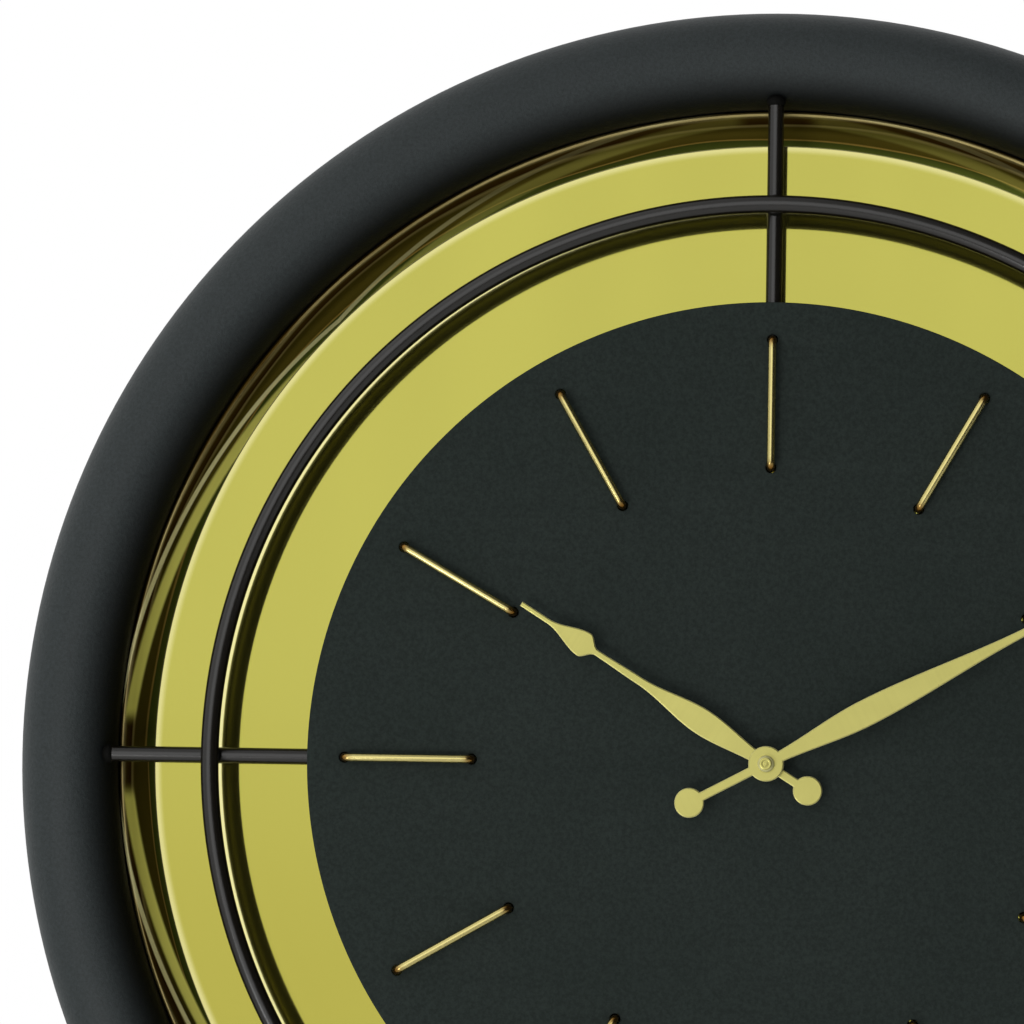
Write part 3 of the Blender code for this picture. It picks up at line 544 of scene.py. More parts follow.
@dataclass(frozen=True)
class WireGold(Finish):
    """Bent brass-plated wire, paler along its span, with painted shade that makes it bronze at its bent ends and
    dark next to the dial.
    """

    # colour of the painted shade where the wire bends down into the dial
    ends: Colour = (0.36, 0.17, 0.03)
    inner: float = 117.5
    outer: float = 168.5

    def dress(self, wiring: Wiring, shader: bpy.types.Node, vector: bpy.types.NodeSocket) -> None:
        """Painted shade, bronze towards both ends of each staple and dark next to the dial; drawn lines along the
        wire.
        """
        place = DialPlaces.place(wiring, vector=vector)
        middle, half = (self.inner + self.outer) / 2.0, (self.outer - self.inner) / 2.0
        away = wiring.maths("ABSOLUTE", wiring.maths("SUBTRACT", place.outputs["Radius"], middle))
        # painted shade: bronze where the wire bends down, darker still next to the dial
        near_end = wiring.ramp(away, half - 4.5, half + 0.8)
        shade_by_dial = wiring.ramp(place.outputs["Level"], 57.6, 60.8, 1.0, 0.0)
        grain = FineGrain.place(wiring, vector=vector, size=900.0, contrast=1.6)
        base = wiring.blend(grain.outputs["Shade"], self.darker(0.86), self.darker(1.12))
        base = wiring.blend(near_end, base, self.ends)
        base = wiring.blend(wiring.maths("MULTIPLY", shade_by_dial, 0.75), base, (0.10, 0.05, 0.02))
        wiring.feed(shader.inputs["Base Color"], base)
        wiring.feed(shader.inputs["Roughness"], wiring.ramp(grain.outputs["Shade"], 0.0, 1.0,
                                                           self.roughness - 0.05, self.roughness + 0.08))
        self.bump(wiring, shader, grain.outputs["Height"], 0.12, 0.0001)


@dataclass(frozen=True)
class SatinMetal(Finish):
    """Satin or machined metal, with turning or brushing lines round a centre."""

    centre: Point3 = (0.0, 0.0, 0.0)
    pitch: float = 3500.0
    line_strength: float = 0.18
    variation: float = 0.10
    tarnish: Colour = (0.10, 0.09, 0.05)
    # colour of a painted highlight on bevels and sides, which face away from the clock's axis
    edge: Colour | None = None

    def dress(self, wiring: Wiring, shader: bpy.types.Node, vector: bpy.types.NodeSocket) -> None:
        """Lines in roughness and bump, a light tarnish in clouds, and, given an edge colour, a painted highlight
        on the edges.
        """
        moved = wiring.add("ShaderNodeMapping", {"Vector": vector, "Location": [-v for v in self.centre]})
        marks = TurningMarks.place(wiring, vector=moved.outputs[0], pitch=self.pitch)
        cloud = SoftMottle.place(wiring, vector=vector, size=60.0, amount=1.4)
        grain = FineGrain.place(wiring, vector=vector, size=2200.0, contrast=1.0)
        low, high = self.darker(1.0 - self.variation), self.darker(1.0 + self.variation)
        base = wiring.blend(marks.outputs["Height"], low, high)
        base = wiring.blend(wiring.maths("MULTIPLY", cloud.outputs["Specks"], 0.25), base, self.tarnish)
        if self.edge:
            # painted highlight: pale, less metallic colour where the surface turns away from the clock's axis
            normal = wiring.add("ShaderNodeNewGeometry").outputs["True Normal"]
            parts = wiring.add("ShaderNodeSeparateXYZ", {"Vector": normal}).outputs
            facing = wiring.maths("ABSOLUTE", parts["Y"])
            edge_highlight = wiring.ramp(facing, 0.80, 0.97, 1.0, 0.0)
            base = wiring.blend(edge_highlight, base, self.edge)
            wiring.feed(shader.inputs["Metallic"], wiring.ramp(edge_highlight, 0.0, 1.0, self.metallic, 0.25))
        wiring.feed(shader.inputs["Base Color"], base)
        rough = wiring.maths("ADD", wiring.ramp(cloud.outputs["Shade"], 0.0, 1.0, self.roughness - 0.05,
                                                self.roughness + 0.05),
                             wiring.maths("MULTIPLY", grain.outputs["Shade"], 0.05))
        wiring.feed(shader.inputs["Roughness"], rough)
        self.bump(wiring, shader, marks.outputs["Height"], self.line_strength, 0.00005)


@dataclass(frozen=True)
class Banded(Finish):
    """Stripes along an axis: enamelled windings, a cell's sleeve or tracks on a board."""

    axis: str = "X"
    stripe: float = 1800.0
    second: Colour = (0.1, 0.1, 0.1)
    share: float = 0.5
    depth: float = 0.0001

    def dress(self, wiring: Wiring, shader: bpy.types.Node, vector: bpy.types.NodeSocket) -> None:
        """Two colours in bands, with grain and a shallow relief."""
        parts = wiring.add("ShaderNodeSeparateXYZ", {"Vector": vector})
        wave = wiring.maths("SINE", wiring.maths("MULTIPLY", parts.outputs[self.axis], self.stripe))
        band = wiring.ramp(wave, self.share * 2.0 - 1.15, self.share * 2.0 - 0.85)
        grain = FineGrain.place(wiring, vector=vector, size=1600.0, contrast=1.2)
        base = wiring.blend(band, self.second, self.colour)
        base = wiring.blend(wiring.maths("MULTIPLY", grain.outputs["Shade"], 0.25), base, self.darker(0.6))
        wiring.feed(shader.inputs["Base Color"], base)
        wiring.feed(shader.inputs["Roughness"], wiring.ramp(grain.outputs["Shade"], 0.0, 1.0,
                                                           self.roughness - 0.06, self.roughness + 0.08))
        self.bump(wiring, shader, wave, 0.4, self.depth)


GOLD = (0.552, 0.521, 0.107)
FINISHES: dict[str, Finish] = {
    "frame_black": Coated("frame_black", (0.050, 0.060, 0.061), 0.50, specular=0.25, grain_size=760.0,
                          contrast=2.6, grain_strength=0.85, grain_depth=0.00025, painted_shade_inside=(262.5, 279.0)),
    "dial_black": Coated("dial_black", (0.0255, 0.0365, 0.0320), 0.80, specular=0.25, grain_size=620.0,
                         contrast=3.6, grain_strength=0.35, mottle=1.2, dust=0.05),
    "rod_black": Coated("rod_black", (0.009, 0.007, 0.004), 0.24, specular=0.9, grain_size=1200.0,
                        grain_strength=0.3, dust=0.05),
    "gold_mirror": MirrorGold("gold_mirror", GOLD, 0.035, 0.95, specular=0.1),
    "bob_gold": MirrorGold("bob_gold", GOLD, 0.045, 1.0, rim_from=900.0, rim_to=910.0, under_ring=800.0),
    "gold_wire": WireGold("gold_wire", (0.88, 0.76, 0.30), 0.21, 1.0),
    # hand_gold's edge colour is a painted highlight
    "hand_gold": SatinMetal("hand_gold", (0.70, 0.65, 0.20), 0.34, 1.0, pitch=900.0, line_strength=0.05,
                            variation=0.05, edge=(0.95, 0.90, 0.42)),
    "brass": SatinMetal("brass", (0.60, 0.46, 0.18), 0.28, 1.0),
    "pan_black": Coated("pan_black", (0.022, 0.022, 0.022), 0.62, grain_size=800.0, dust=0.5),
    "case_plastic": Coated("case_plastic", (0.018, 0.018, 0.020), 0.50, grain_size=2400.0, dust=0.3),
    "gear_plastic": Coated("gear_plastic", (0.72, 0.71, 0.66), 0.42, grain_size=2600.0, contrast=0.5,
                           grain_strength=0.1, mottle=0.5, dust=0.0),
    "steel": SatinMetal("steel", (0.56, 0.56, 0.57), 0.32, 1.0, tarnish=(0.16, 0.12, 0.08)),
    "copper": Banded("copper", (0.52, 0.20, 0.08), 0.34, 1.0, axis="X", stripe=20000.0,
                     second=(0.25, 0.08, 0.03), depth=0.0001),
    "rubber": Coated("rubber", (0.014, 0.014, 0.014), 0.86, grain_size=1800.0, dust=0.8),
    "board_green": Banded("board_green", (0.016, 0.110, 0.045), 0.40, axis="Z", stripe=1900.0,
                          second=(0.030, 0.180, 0.070), depth=0.00003, coat=0.3),
    "battery_sleeve": Banded("battery_sleeve", (0.070, 0.090, 0.150), 0.30, axis="X", stripe=62.0,
                             second=(0.42, 0.42, 0.44), share=0.86, depth=0.0, coat=0.4),
    "weld": Coated("weld", (0.006, 0.006, 0.005), 0.70, specular=0.1, grain_size=700.0,
                   grain_strength=0.9, grain_depth=0.0003),
}


# ---------------------------------------------------------------- shapes

def upright(x: float, y: float, z: float) -> Vector:
    """A point of the dial's plane in the frame's metres."""
    return Vector((x, -z, y)) * MM


def polar(radius: float, degrees: float, centre: Point2 = (0.0, 0.0)) -> Point2:
    """Point at a radius and an angle anticlockwise from the right."""
    angle = math.radians(degrees)
    return centre[0] + radius * math.cos(angle), centre[1] + radius * math.sin(angle)


def circle(radius: float, count: int, centre: Point2 = (0.0, 0.0), start: float = 0.0) -> list[Point2]:
    """Corners of a round outline."""
    return [polar(radius, start + 360.0 * i / count, centre) for i in range(count)]


def arc(centre: Point2, radius: float, first: float, last: float, count: int) -> list[Point2]:
    """Points along an arc, both ends included."""
    return [polar(radius, first + (last - first) * i / count, centre) for i in range(count + 1)]


def rounded(left: float, right: float, low: float, high: float, radius: float) -> list[Point2]:
    """Rectangle with rounded corners.

    Args:
        left: its left edge.
        right: its right edge.
        low: its lower edge.
        high: its upper edge.
        radius: radius of its corners.

    Returns:
        Its points, anticlockwise from the upper right corner.
    """
    corners = ((right - radius, high - radius, 0.0), (left + radius, high - radius, 90.0),
               (left + radius, low + radius, 180.0), (right - radius, low + radius, 270.0))
    return [p for x, y, turn in corners for p in arc((x, y), radius, turn, turn + 90.0, 5)]


def keyhole(entry_steps: int, neck_steps: int) -> list[Point2]:
    """Outline of the hanging keyhole, a round entry below a narrow neck.

    Args:
        entry_steps: steps round the entry.
        neck_steps: steps round the neck's end.

    Returns:
        Its points, anticlockwise.
    """
    entry = arc((0.0, KEYHOLE_Y), KEYHOLE_ENTRY, 117.0, 423.0, entry_steps)
    return entry + arc((0.0, KEYHOLE_Y + KEYHOLE_RISE), KEYHOLE_NECK, 0.0, 180.0, neck_steps)


def closed_mesh(name: str, shape: bmesh.types.BMesh) -> bpy.types.Mesh:
    """Mesh of a bmesh, doubles merged and faces pointing out.

    Args:
        name: the mesh's name.
        shape: the bmesh, which is used up.

    Returns:
        The mesh.
    """
    bmesh.ops.remove_doubles(shape, verts=shape.verts, dist=1e-6)
    bmesh.ops.recalc_face_normals(shape, faces=shape.faces)
    mesh = bpy.data.meshes.new(name)
    shape.to_mesh(mesh)
    shape.free()
    return mesh


def turned(name: str, profile: Sequence[Point2], steps: int = 192, centre: Point2 = (0.0, 0.0),
           axis: Matrix | None = None, closed: bool = True) -> bpy.types.Mesh:
    """Body turned round an axis that points out of the wall.

    Args:
        name: the mesh's name.
        profile: (radius, height) pairs of its section.
        steps: how many steps there are in a turn.
        centre: the axis in the dial's plane.
        axis: a turn of the whole body about its own centre, before it is put in place.
        closed: whether the section is a loop; an open one starts and ends on the axis.

    Returns:
        The closed mesh.
    """
    shape = bmesh.new()
    rings = []
    for radius, height in profile:
        row = []
        for x, y in circle(radius, steps if radius > 1e-6 else 1):
            point = Vector((x, y, height))
            point = axis @ point if axis else point
            row.append(shape.verts.new(upright(point.x + centre[0], point.y + centre[1], point.z)))
        rings.append(row)
    pairs = list(zip(rings, rings[1:])) + ([(rings[-1], rings[0])] if closed else [])
    for lower, upper in pairs:
        for i in range(steps):
            quad = [lower[i % len(lower)], lower[(i + 1) % len(lower)],
                    upper[(i + 1) % len(upper)], upper[i % len(upper)]]
            corners = list(dict.fromkeys(quad))
            if len(corners) > 2:
                shape.faces.new(corners)
    return closed_mesh(name, shape)


def rod(name: str, start: Point3, end: Point3, radius: float, sides: int = 28,
        chamfer: float = 0.4) -> bpy.types.Mesh:
    """Straight round rod with chamfered ends.

    Args:
        name: the mesh's name.
        start: middle of one end, in millimetres.
        end: middle of the other end.
        radius: its radius.
        sides: how many sides it has.
        chamfer: how far its ends are eased.

    Returns:
        The closed mesh.
    """
    first, last = upright(*start), upright(*end)
    along = (last - first).normalized()
    across = along.orthogonal().normalized()
    other = along.cross(across)
    length = (last - first).length
    shape = bmesh.new()
    stations = ((0.0, radius - chamfer), (chamfer * MM, radius), (length / 2.0, radius),
                (length - chamfer * MM, radius), (length, radius - chamfer))
    rings = [[shape.verts.new(first + along * at + (across * math.cos(math.tau * i / sides)
                              + other * math.sin(math.tau * i / sides)) * r * MM) for i in range(sides)]
             for at, r in stations]
    for lower, upper in zip(rings, rings[1:]):
        for i in range(sides):
            shape.faces.new((lower[i], lower[(i + 1) % sides], upper[(i + 1) % sides], upper[i]))
    shape.faces.new(rings[0])
    shape.faces.new(rings[-1])
    return closed_mesh(name, shape)


def plate(name: str, outlines: Sequence[Sequence[Point2]], back: float, front: float,
          bevel: float = 0.2, turn: float = 0.0, rounding: int = 2) -> bpy.types.Mesh:
    """Flat piece with eased edges.

    Args:
        name: the mesh's name.
        outlines: its outline, then the outlines of its holes.
        back: height of its rear face above the wall.
        front: height of its front face.
        bevel: how far its edges are eased.
        turn: an angle about the clock's axis, in degrees.
        rounding: how many steps the eased edge has.

    Returns:
        The closed mesh.
    """
    curve = bpy.data.curves.new(name, "CURVE")
    curve.dimensions = "2D"
    curve.fill_mode = "BOTH"
    curve.extrude = ((front - back) / 2.0 - bevel) * MM
    curve.bevel_depth = bevel * MM
    curve.bevel_resolution = rounding
    curve.offset = -bevel * MM
    for outline in outlines:
        spline = curve.splines.new("POLY")
        spline.points.add(len(outline) - 1)
        for point, (x, y) in zip(spline.points, outline):
            point.co = (x * MM, y * MM, 0.0, 1.0)
        spline.use_cyclic_u = True
    item = bpy.data.objects.new(name + "_outline", curve)
    bpy.context.scene.collection.objects.link(item)
    mesh = settled(item)
    bpy.data.objects.remove(item)
    bpy.data.curves.remove(curve)
    place = (Matrix.Rotation(math.radians(90.0), 4, "X") @ Matrix.Rotation(math.radians(turn), 4, "Z")
             @ Matrix.Translation((0.0, 0.0, (back + front) / 2.0 * MM)))
    mesh.transform(place)
    shape = bmesh.new()
    shape.from_mesh(mesh)
    bpy.data.meshes.remove(mesh)
    return closed_mesh(name, shape)


def settled(item: bpy.types.Object) -> bpy.types.Mesh:
    """Plain mesh of an object with its modifiers carried out.

    Args:
        item: the object.

    Returns:
        A new mesh.
    """
    bpy.context.view_layer.update()
    graph = bpy.context.evaluated_depsgraph_get()
    return bpy.data.meshes.new_from_object(item.evaluated_get(graph))


def joined(name: str, meshes: Iterable[bpy.types.Mesh]) -> bpy.types.Mesh:
    """One mesh of several.

    Args:
        name: the new mesh's name.
        meshes: the parts, which are removed.

    Returns:
        The new mesh.
    """
    shape = bmesh.new()
    for mesh in meshes:
        shape.from_mesh(mesh)
        bpy.data.meshes.remove(mesh)
    mesh = bpy.data.meshes.new(name)
    shape.to_mesh(mesh)
    shape.free()
    return mesh


def cut_out(mesh: bpy.types.Mesh, tools: Sequence[bpy.types.Mesh]) -> bpy.types.Mesh:
    """Mesh with the tools' shapes taken out of it.

    Args:
        mesh: the body.
        tools: closed shapes that cut it.

    Returns:
        A new mesh; the body and the tools are removed.
    """
    body = bpy.data.objects.new("body_to_cut", mesh)
    bpy.context.scene.collection.objects.link(body)
    helpers = []
    for tool in tools:
        helper = bpy.data.objects.new("cutter", tool)
        bpy.context.scene.collection.objects.link(helper)
        modifier = body.modifiers.new("cut", "BOOLEAN")
        modifier.operation = "DIFFERENCE"
        modifier.solver = "EXACT"
        modifier.object = helper
        helpers.append(helper)
    result = settled(body)
    for item in [body, *helpers]:
        used = item.data
        bpy.data.objects.remove(item)
        bpy.data.meshes.remove(used)
    return result


def piece(name: str, mesh: bpy.types.Mesh, finish: str, body: str, replaces: Sequence[str] = (),
          smooth: float = 35.0) -> bpy.types.Object:
    """Put a finished mesh on the clock.

    Args:
        name: the piece's name.
        mesh: its mesh, already in place.
        finish: key of its finish.
        body: the CAD body that carries it.
        replaces: CAD nodes that it stands for.
        smooth: edges that turn by more than this many degrees stay sharp.

    Returns:
        The object, at the origin.
    """
    item = bpy.data.objects.new(name, mesh)
    bpy.context.scene.collection.objects.link(item)
    mesh.materials.clear()
    mesh.materials.append(FINISHES[finish].material())
    mesh.shade_smooth()
    mesh.set_sharp_from_angle(angle=math.radians(smooth))
    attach(item, body)
    if replaces:
        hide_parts(*replaces)
    LOG.info("%s: %d faces, rides on %s", name, len(mesh.polygons), body)
    return item


# ---------------------------------------------------------------- things that repeat

class Pattern(Enum):
    """How copies of a shape are laid out."""

    RING = "ring"
    ROW = "row"


@dataclass
class Repeated:
    """A shape repeated by a Geometry Nodes tree and turned into one plain mesh."""

    name: str
    finish: str
    body: str
    count: int
    sizes: dict[str, float]
    pattern: Pattern = Pattern.RING
    first: float = 0.0
    span: float = 360.0
    centre: Point3 = (0.0, 0.0, 0.0)
    lay: Point3 = (90.0, 0.0, 0.0)
    replaces: Sequence[str] = field(default_factory=tuple)
    smooth: float = 40.0
    slot: str | None = None

    def shape(self, wiring: Wiring, size: dict[str, bpy.types.NodeSocket]) -> bpy.types.NodeSocket:
        """Geometry of one copy, in millimetres, already at its distance from the ring's centre.

        Args:
            wiring: the tree's wiring.
            size: socket of each size, by name.

        Returns:
            The geometry's socket.
        """
        raise NotImplementedError

    def put(self, wiring: Wiring, geometry: Feed, at: dict[str, Feed]) -> bpy.types.NodeSocket:
        """Move geometry to a place.

        Args:
            wiring: the tree's wiring.
            geometry: what is moved.
            at: its X, Y and Z, those that aren't 0.

        Returns:
            The moved geometry's socket.
        """
        place = wiring.add("ShaderNodeCombineXYZ", at).outputs[0]
        return wiring.add("GeometryNodeTransform", {"Geometry": geometry, "Translation": place}).outputs[0]

    def tree(self) -> tuple[bpy.types.NodeTree, dict[str, str]]:
        """Build the node tree.

        Returns:
            The tree and the identifier of each named input.
        """
        tree = bpy.data.node_groups.new(self.name, "GeometryNodeTree")
        sockets = {"Count": "NodeSocketInt", "First": "NodeSocketFloat", "Span": "NodeSocketFloat",
                   "Finish": "NodeSocketMaterial", **{k: "NodeSocketFloat" for k in self.sizes}}
        named = {key: tree.interface.new_socket(key, in_out="INPUT", socket_type=kind).identifier
                 for key, kind in sockets.items()}
        tree.interface.new_socket("Geometry", in_out="OUTPUT", socket_type="NodeSocketGeometry")
        wiring = Wiring(tree)
        given = wiring.add("NodeGroupInput").outputs
        copy = self.shape(wiring, {key: given[key] for key in self.sizes})
        index = wiring.add("GeometryNodeInputIndex").outputs[0]
        step = wiring.maths("DIVIDE", given["Span"], given["Count"])
        value = wiring.maths("MULTIPLY_ADD", index, step, given["First"])
        points = wiring.add("GeometryNodeMeshLine", {"Count": given["Count"], "Offset": (0.0, 0.0, 0.0)})
        if self.pattern is Pattern.RING:
            turn = wiring.add("ShaderNodeCombineXYZ", {"Z": wiring.maths("RADIANS", value)}).outputs[0]
            copies = wiring.add("GeometryNodeInstanceOnPoints", {
                "Points": points.outputs[0], "Instance": copy, "Rotation": turn})
        else:
            shift = wiring.add("ShaderNodeCombineXYZ", {"Z": value}).outputs[0]
            line = wiring.add("GeometryNodeSetPosition", {"Geometry": points.outputs[0], "Offset": shift})
            copies = wiring.add("GeometryNodeInstanceOnPoints", {"Points": line.outputs[0],
                                                                 "Instance": copy})
        stand = wiring.add("GeometryNodeTransform", {
            "Geometry": copies.outputs[0], "Scale": (MM, MM, MM), "Translation": upright(*self.centre),
            "Rotation": Euler([math.radians(a) for a in self.lay])})
        real = wiring.add("GeometryNodeRealizeInstances", {"Geometry": stand.outputs[0]})
        dressed = wiring.add("GeometryNodeSetMaterial", {"Geometry": real.outputs[0],
                                                         "Material": given["Finish"]})
        sink = wiring.add("NodeGroupOutput")
        wiring.feed(sink.inputs["Geometry"], dressed.outputs[0])
        return tree, named

    def build(self) -> bpy.types.Object:
        """Run the tree and keep its result as a plain mesh.

        Returns:
            The finished piece.
        """
        seed = bpy.data.meshes.new(self.name + "_seed")
        item = bpy.data.objects.new(self.name + "_seed", seed)
        bpy.context.scene.collection.objects.link(item)
        modifier = item.modifiers.new("repeat", "NODES")
        tree, named = self.tree()
        modifier.node_group = tree
        values = {"Count": self.count, "First": self.first, "Span": self.span,
                  "Finish": FINISHES[self.finish].material(), **self.sizes}
        for key, value in values.items():
            modifier[named[key]] = value
        mesh = settled(item)
        bpy.data.objects.remove(item)
        bpy.data.meshes.remove(seed)
        bpy.data.node_groups.remove(tree)
        shape = bmesh.new()
        shape.from_mesh(mesh)
        bpy.data.meshes.remove(mesh)
        return piece(self.name, closed_mesh(self.name, shape), self.finish, self.body, self.replaces,
                     self.smooth)


class Staples(Repeated):
    """Hour markers: wire staples whose bent ends go into the dial."""

    def shape(self, wiring: Wiring, size: dict[str, bpy.types.NodeSocket]) -> bpy.types.NodeSocket:
        """Four points bent into a staple, its corners rounded, swept with a round section."""
        index = wiring.add("GeometryNodeInputIndex").outputs[0]
        far = wiring.maths("GREATER_THAN", index, 1.5)
        up = wiring.maths("LESS_THAN", wiring.maths("ABSOLUTE", wiring.maths("SUBTRACT", index, 1.5)), 1.0)
        x = wiring.maths("MULTIPLY_ADD", far, wiring.maths("SUBTRACT", size["Outer"], size["Inner"]),
                         size["Inner"])
        z = wiring.maths("MULTIPLY_ADD", up, wiring.maths("SUBTRACT", size["Top"], size["Foot"]),
                         size["Foot"])
        line = wiring.add("GeometryNodeMeshLine", {"Count": 4, "Offset": (1.0, 0.0, 0.0)})
        at = wiring.add("ShaderNodeCombineXYZ", {"X": x, "Z": z}).outputs[0]
        bent = wiring.add("GeometryNodeSetPosition", {"Geometry": line.outputs[0], "Position": at})
        wire = wiring.add("GeometryNodeMeshToCurve", {"Mesh": bent.outputs[0]})
        eased = wiring.add("GeometryNodeFilletCurve", {"Curve": wire.outputs[0], "Radius": size["Bend"],
                                                       "Count": 8, "Limit Radius": True}, mode="POLY")
        section = wiring.add("GeometryNodeCurvePrimitiveCircle", {"Resolution": 20, "Radius": size["Wire"]})
        swept = wiring.add("GeometryNodeCurveToMesh", {"Curve": eased.outputs[0],
                                                       "Profile Curve": section.outputs[0],
                                                       "Fill Caps": True})
        return swept.outputs[0]


class Domes(Repeated):
    """Low round heads: rivets, spot welds and weld beads."""

    def shape(self, wiring: Wiring, size: dict[str, bpy.types.NodeSocket]) -> bpy.types.NodeSocket:
        """Flattened ball at the ring's radius."""
        ball = wiring.add("GeometryNodeMeshUVSphere", {"Segments": 16, "Rings": 10, "Radius": 1.0})
        scale = wiring.add("ShaderNodeCombineXYZ", {"X": size["Width"], "Y": size["Length"],
                                                    "Z": size["Height"]}).outputs[0]
        at = wiring.add("ShaderNodeCombineXYZ", {"X": size["Radius"], "Z": size["Level"]}).outputs[0]
        put = wiring.add("GeometryNodeTransform", {"Geometry": ball.outputs[0], "Scale": scale,
                                                   "Translation": at})
        return put.outputs[0]


class Ribs(Repeated):
    """Knurling or grip ribs round a knob or nut."""

    def shape(self, wiring: Wiring, size: dict[str, bpy.types.NodeSocket]) -> bpy.types.NodeSocket:
        """Slim six-sided bar on the knob's skin."""
        bar = wiring.add("GeometryNodeMeshCylinder", {"Vertices": 6, "Radius": size["Thickness"],
                                                      "Depth": size["Length"]})
        return self.put(wiring, bar.outputs[0], {"X": size["Radius"], "Z": size["Level"]})


class Screws(Repeated):
    """Small screws with a cross recess."""

    def shape(self, wiring: Wiring, size: dict[str, bpy.types.NodeSocket]) -> bpy.types.NodeSocket:
        """Round shank, less two crossed bars."""
        shank = wiring.add("GeometryNodeMeshCylinder", {"Vertices": 24, "Radius": size["Shank"],
                                                        "Depth": size["Length"]})
        raised = self.put(wiring, shank.outputs[0], {"Z": wiring.maths("MULTIPLY", size["Length"], 0.5)})
        cut = wiring.add("GeometryNodeMeshBoolean", {"Mesh 1": raised}, operation="DIFFERENCE",
                         solver="EXACT")
        for bar_size in ((1.7, 0.42, 0.9), (0.42, 1.7, 0.9)):
            bar = wiring.add("GeometryNodeMeshCube", {"Size": bar_size})
            wiring.feed(cut.inputs["Mesh 2"], bar.outputs[0])
        return self.put(wiring, cut.outputs[0], {"X": size["Radius"]})


class Turns(Repeated):
    """Wire wound round a bobbin, one ring beside the next."""

    def shape(self, wiring: Wiring, size: dict[str, bpy.types.NodeSocket]) -> bpy.types.NodeSocket:
        """One turn of wire."""
        path = wiring.add("GeometryNodeCurvePrimitiveCircle", {"Resolution": 28, "Radius": size["Radius"]})
        section = wiring.add("GeometryNodeCurvePrimitiveCircle", {"Resolution": 6, "Radius": size["Wire"]})
        swept = wiring.add("GeometryNodeCurveToMesh", {"Curve": path.outputs[0],
                                                       "Profile Curve": section.outputs[0]})
        return swept.outputs[0]


# ---------------------------------------------------------------- sub-assemblies

@dataclass
class Surround:
    """Round-section frame, the mirror dish inside it and the pan behind."""

    outer: float = 301.5
    tube: float = 19.5
    level: float = 40.0
    sheet: float = 1.4
    floor: float = 30.0
    dish_edge: float = 251.6
    pan_rim: float = 297.0
    pan_low: float = 1.8
    pan_sheet: float = 1.2
    pan_flange: float = 28.5
    cover_half: float = 72.0
    pan_ribs: Sequence[float] = (205.0, 160.0, 115.0)

    def frame_tube(self) -> bpy.types.Object:
        """Open-backed ring of round section, with its rear edges rolled.

        Returns:
            The piece.
        """
        centre = (self.outer - self.tube, self.level)
        skin = arc(centre, self.tube, 180.0 + 35.0, -35.0, 64)
        inside = arc(centre, self.tube - self.sheet, -34.0, 180.0 + 34.0, 30)
        near, far = skin[0], skin[-1]
        hem_in = arc((near[0] + 0.55, near[1] + 0.35), 0.65, 215.0, 395.0, 5)
        hem_out = arc((far[0] - 0.55, far[1] + 0.35), 0.65, 145.0, 325.0, 5)
        profile = skin[1:-1] + list(reversed(hem_out)) + inside + list(reversed(hem_in))
        return piece("frame_tube", turned("frame_tube", profile, 256), "frame_black", "clock_body",
                     ["outer_frame"])

    def mirror_dish(self) -> bpy.types.Object:
        """Polished dish: flat floor, curved steep rim and a narrow rolled lip under the frame.

        Returns:
            The piece.
        """
        edge, floor = self.dish_edge, self.floor
        lip = self.outer - 2.0 * self.tube - 0.3
        front = ([(5.0, floor), (60.0, floor), (120.0, floor), (180.0, floor), (edge - 2.9, floor),
                  (edge - 2.7, floor), (edge - 2.3, floor + 0.12), (edge - 1.6, floor + 0.4),
                  (edge, floor + 1.1),
                    (edge + 2.2, floor + 2.3), (edge + 4.6, floor + 4.2),
                    (edge + 6.4, floor + 6.4), (edge + 7.6, floor + 8.4)]
                 + arc((lip - 1.2, floor + 8.6), 1.2, 160.0, 0.0, 10))
        rear = [(lip, self.level - 2.4), (edge + 7.4, floor + 5.8), (edge + 4.6, floor + 2.8),
                (edge + 1.0, floor - 1.0), (5.0, floor - 1.0)]
        return piece("mirror_dish", turned("mirror_dish", front + rear, 288), "gold_mirror", "clock_body",
                     ["gold_dish"], smooth=50.0)

    def pan(self) -> bpy.types.Object:
        """Rear pan with a ribbed floor, its openings cut as in the frame.

        Returns:
            The piece.
        """
        low, sheet = self.pan_low, self.pan_sheet
        flange_front, rim = self.pan_flange, self.pan_rim
        flange_back = flange_front - sheet
        outer = [(rim - 0.3, flange_front), (rim, flange_front - 0.3), (rim, flange_back + 0.3),
                 (rim - 0.3, flange_back), (254.2, flange_back), (252.6, flange_back - 0.9),
                 (246.6, low + 0.9), (245.2, low), (215.0, low)]
        ribs: list[Point2] = []
        for radius in self.pan_ribs:
            ribs += [(radius + 4.0, low), (radius + 2.6, low + 0.9), (radius - 2.6, low + 0.9),
                     (radius - 4.0, low)]
        inner = [(60.0, low), (60.0, low + sheet), (244.5, low + sheet), (245.8, low + sheet + 0.6),
                 (251.2, flange_front - 1.0), (252.2, flange_front)]
        shell = turned("pan_shell", outer + ribs + inner, 192)
        half = self.cover_half
        tools = [plate("cover_opening", [rounded(-half, half, -half, half, 4.0)], -1.0, 10.0, 0.01),
                 plate("pendulum_slot", [rounded(-32.0, 32.0, -262.0, -232.0, 0.5)], 3.4, 12.0, 0.01),
                 plate("pan_keyhole", [keyhole(25, 13)], -1.0, 10.0, 0.01)]
        tools += [plate("screw_hole", [circle(SCREW_HOLE, 20, at)], -1.0, 10.0, 0.01)
                  for at in SCREW_PLACES]
        return piece("pan_shell", cut_out(shell, tools), "pan_black", "clock_body", ["rear_pan"],
                     smooth=30.0)

    def build(self) -> None:
        """Make the surround and its repeated fixings."""
        self.frame_tube()
        self.mirror_dish()
        self.pan()
        Domes("flange_welds", "pan_black", "clock_body", 24,
              {"Radius": 275.0, "Level": 27.3, "Width": 2.2, "Length": 2.2, "Height": 0.35},
              first=7.5).build()


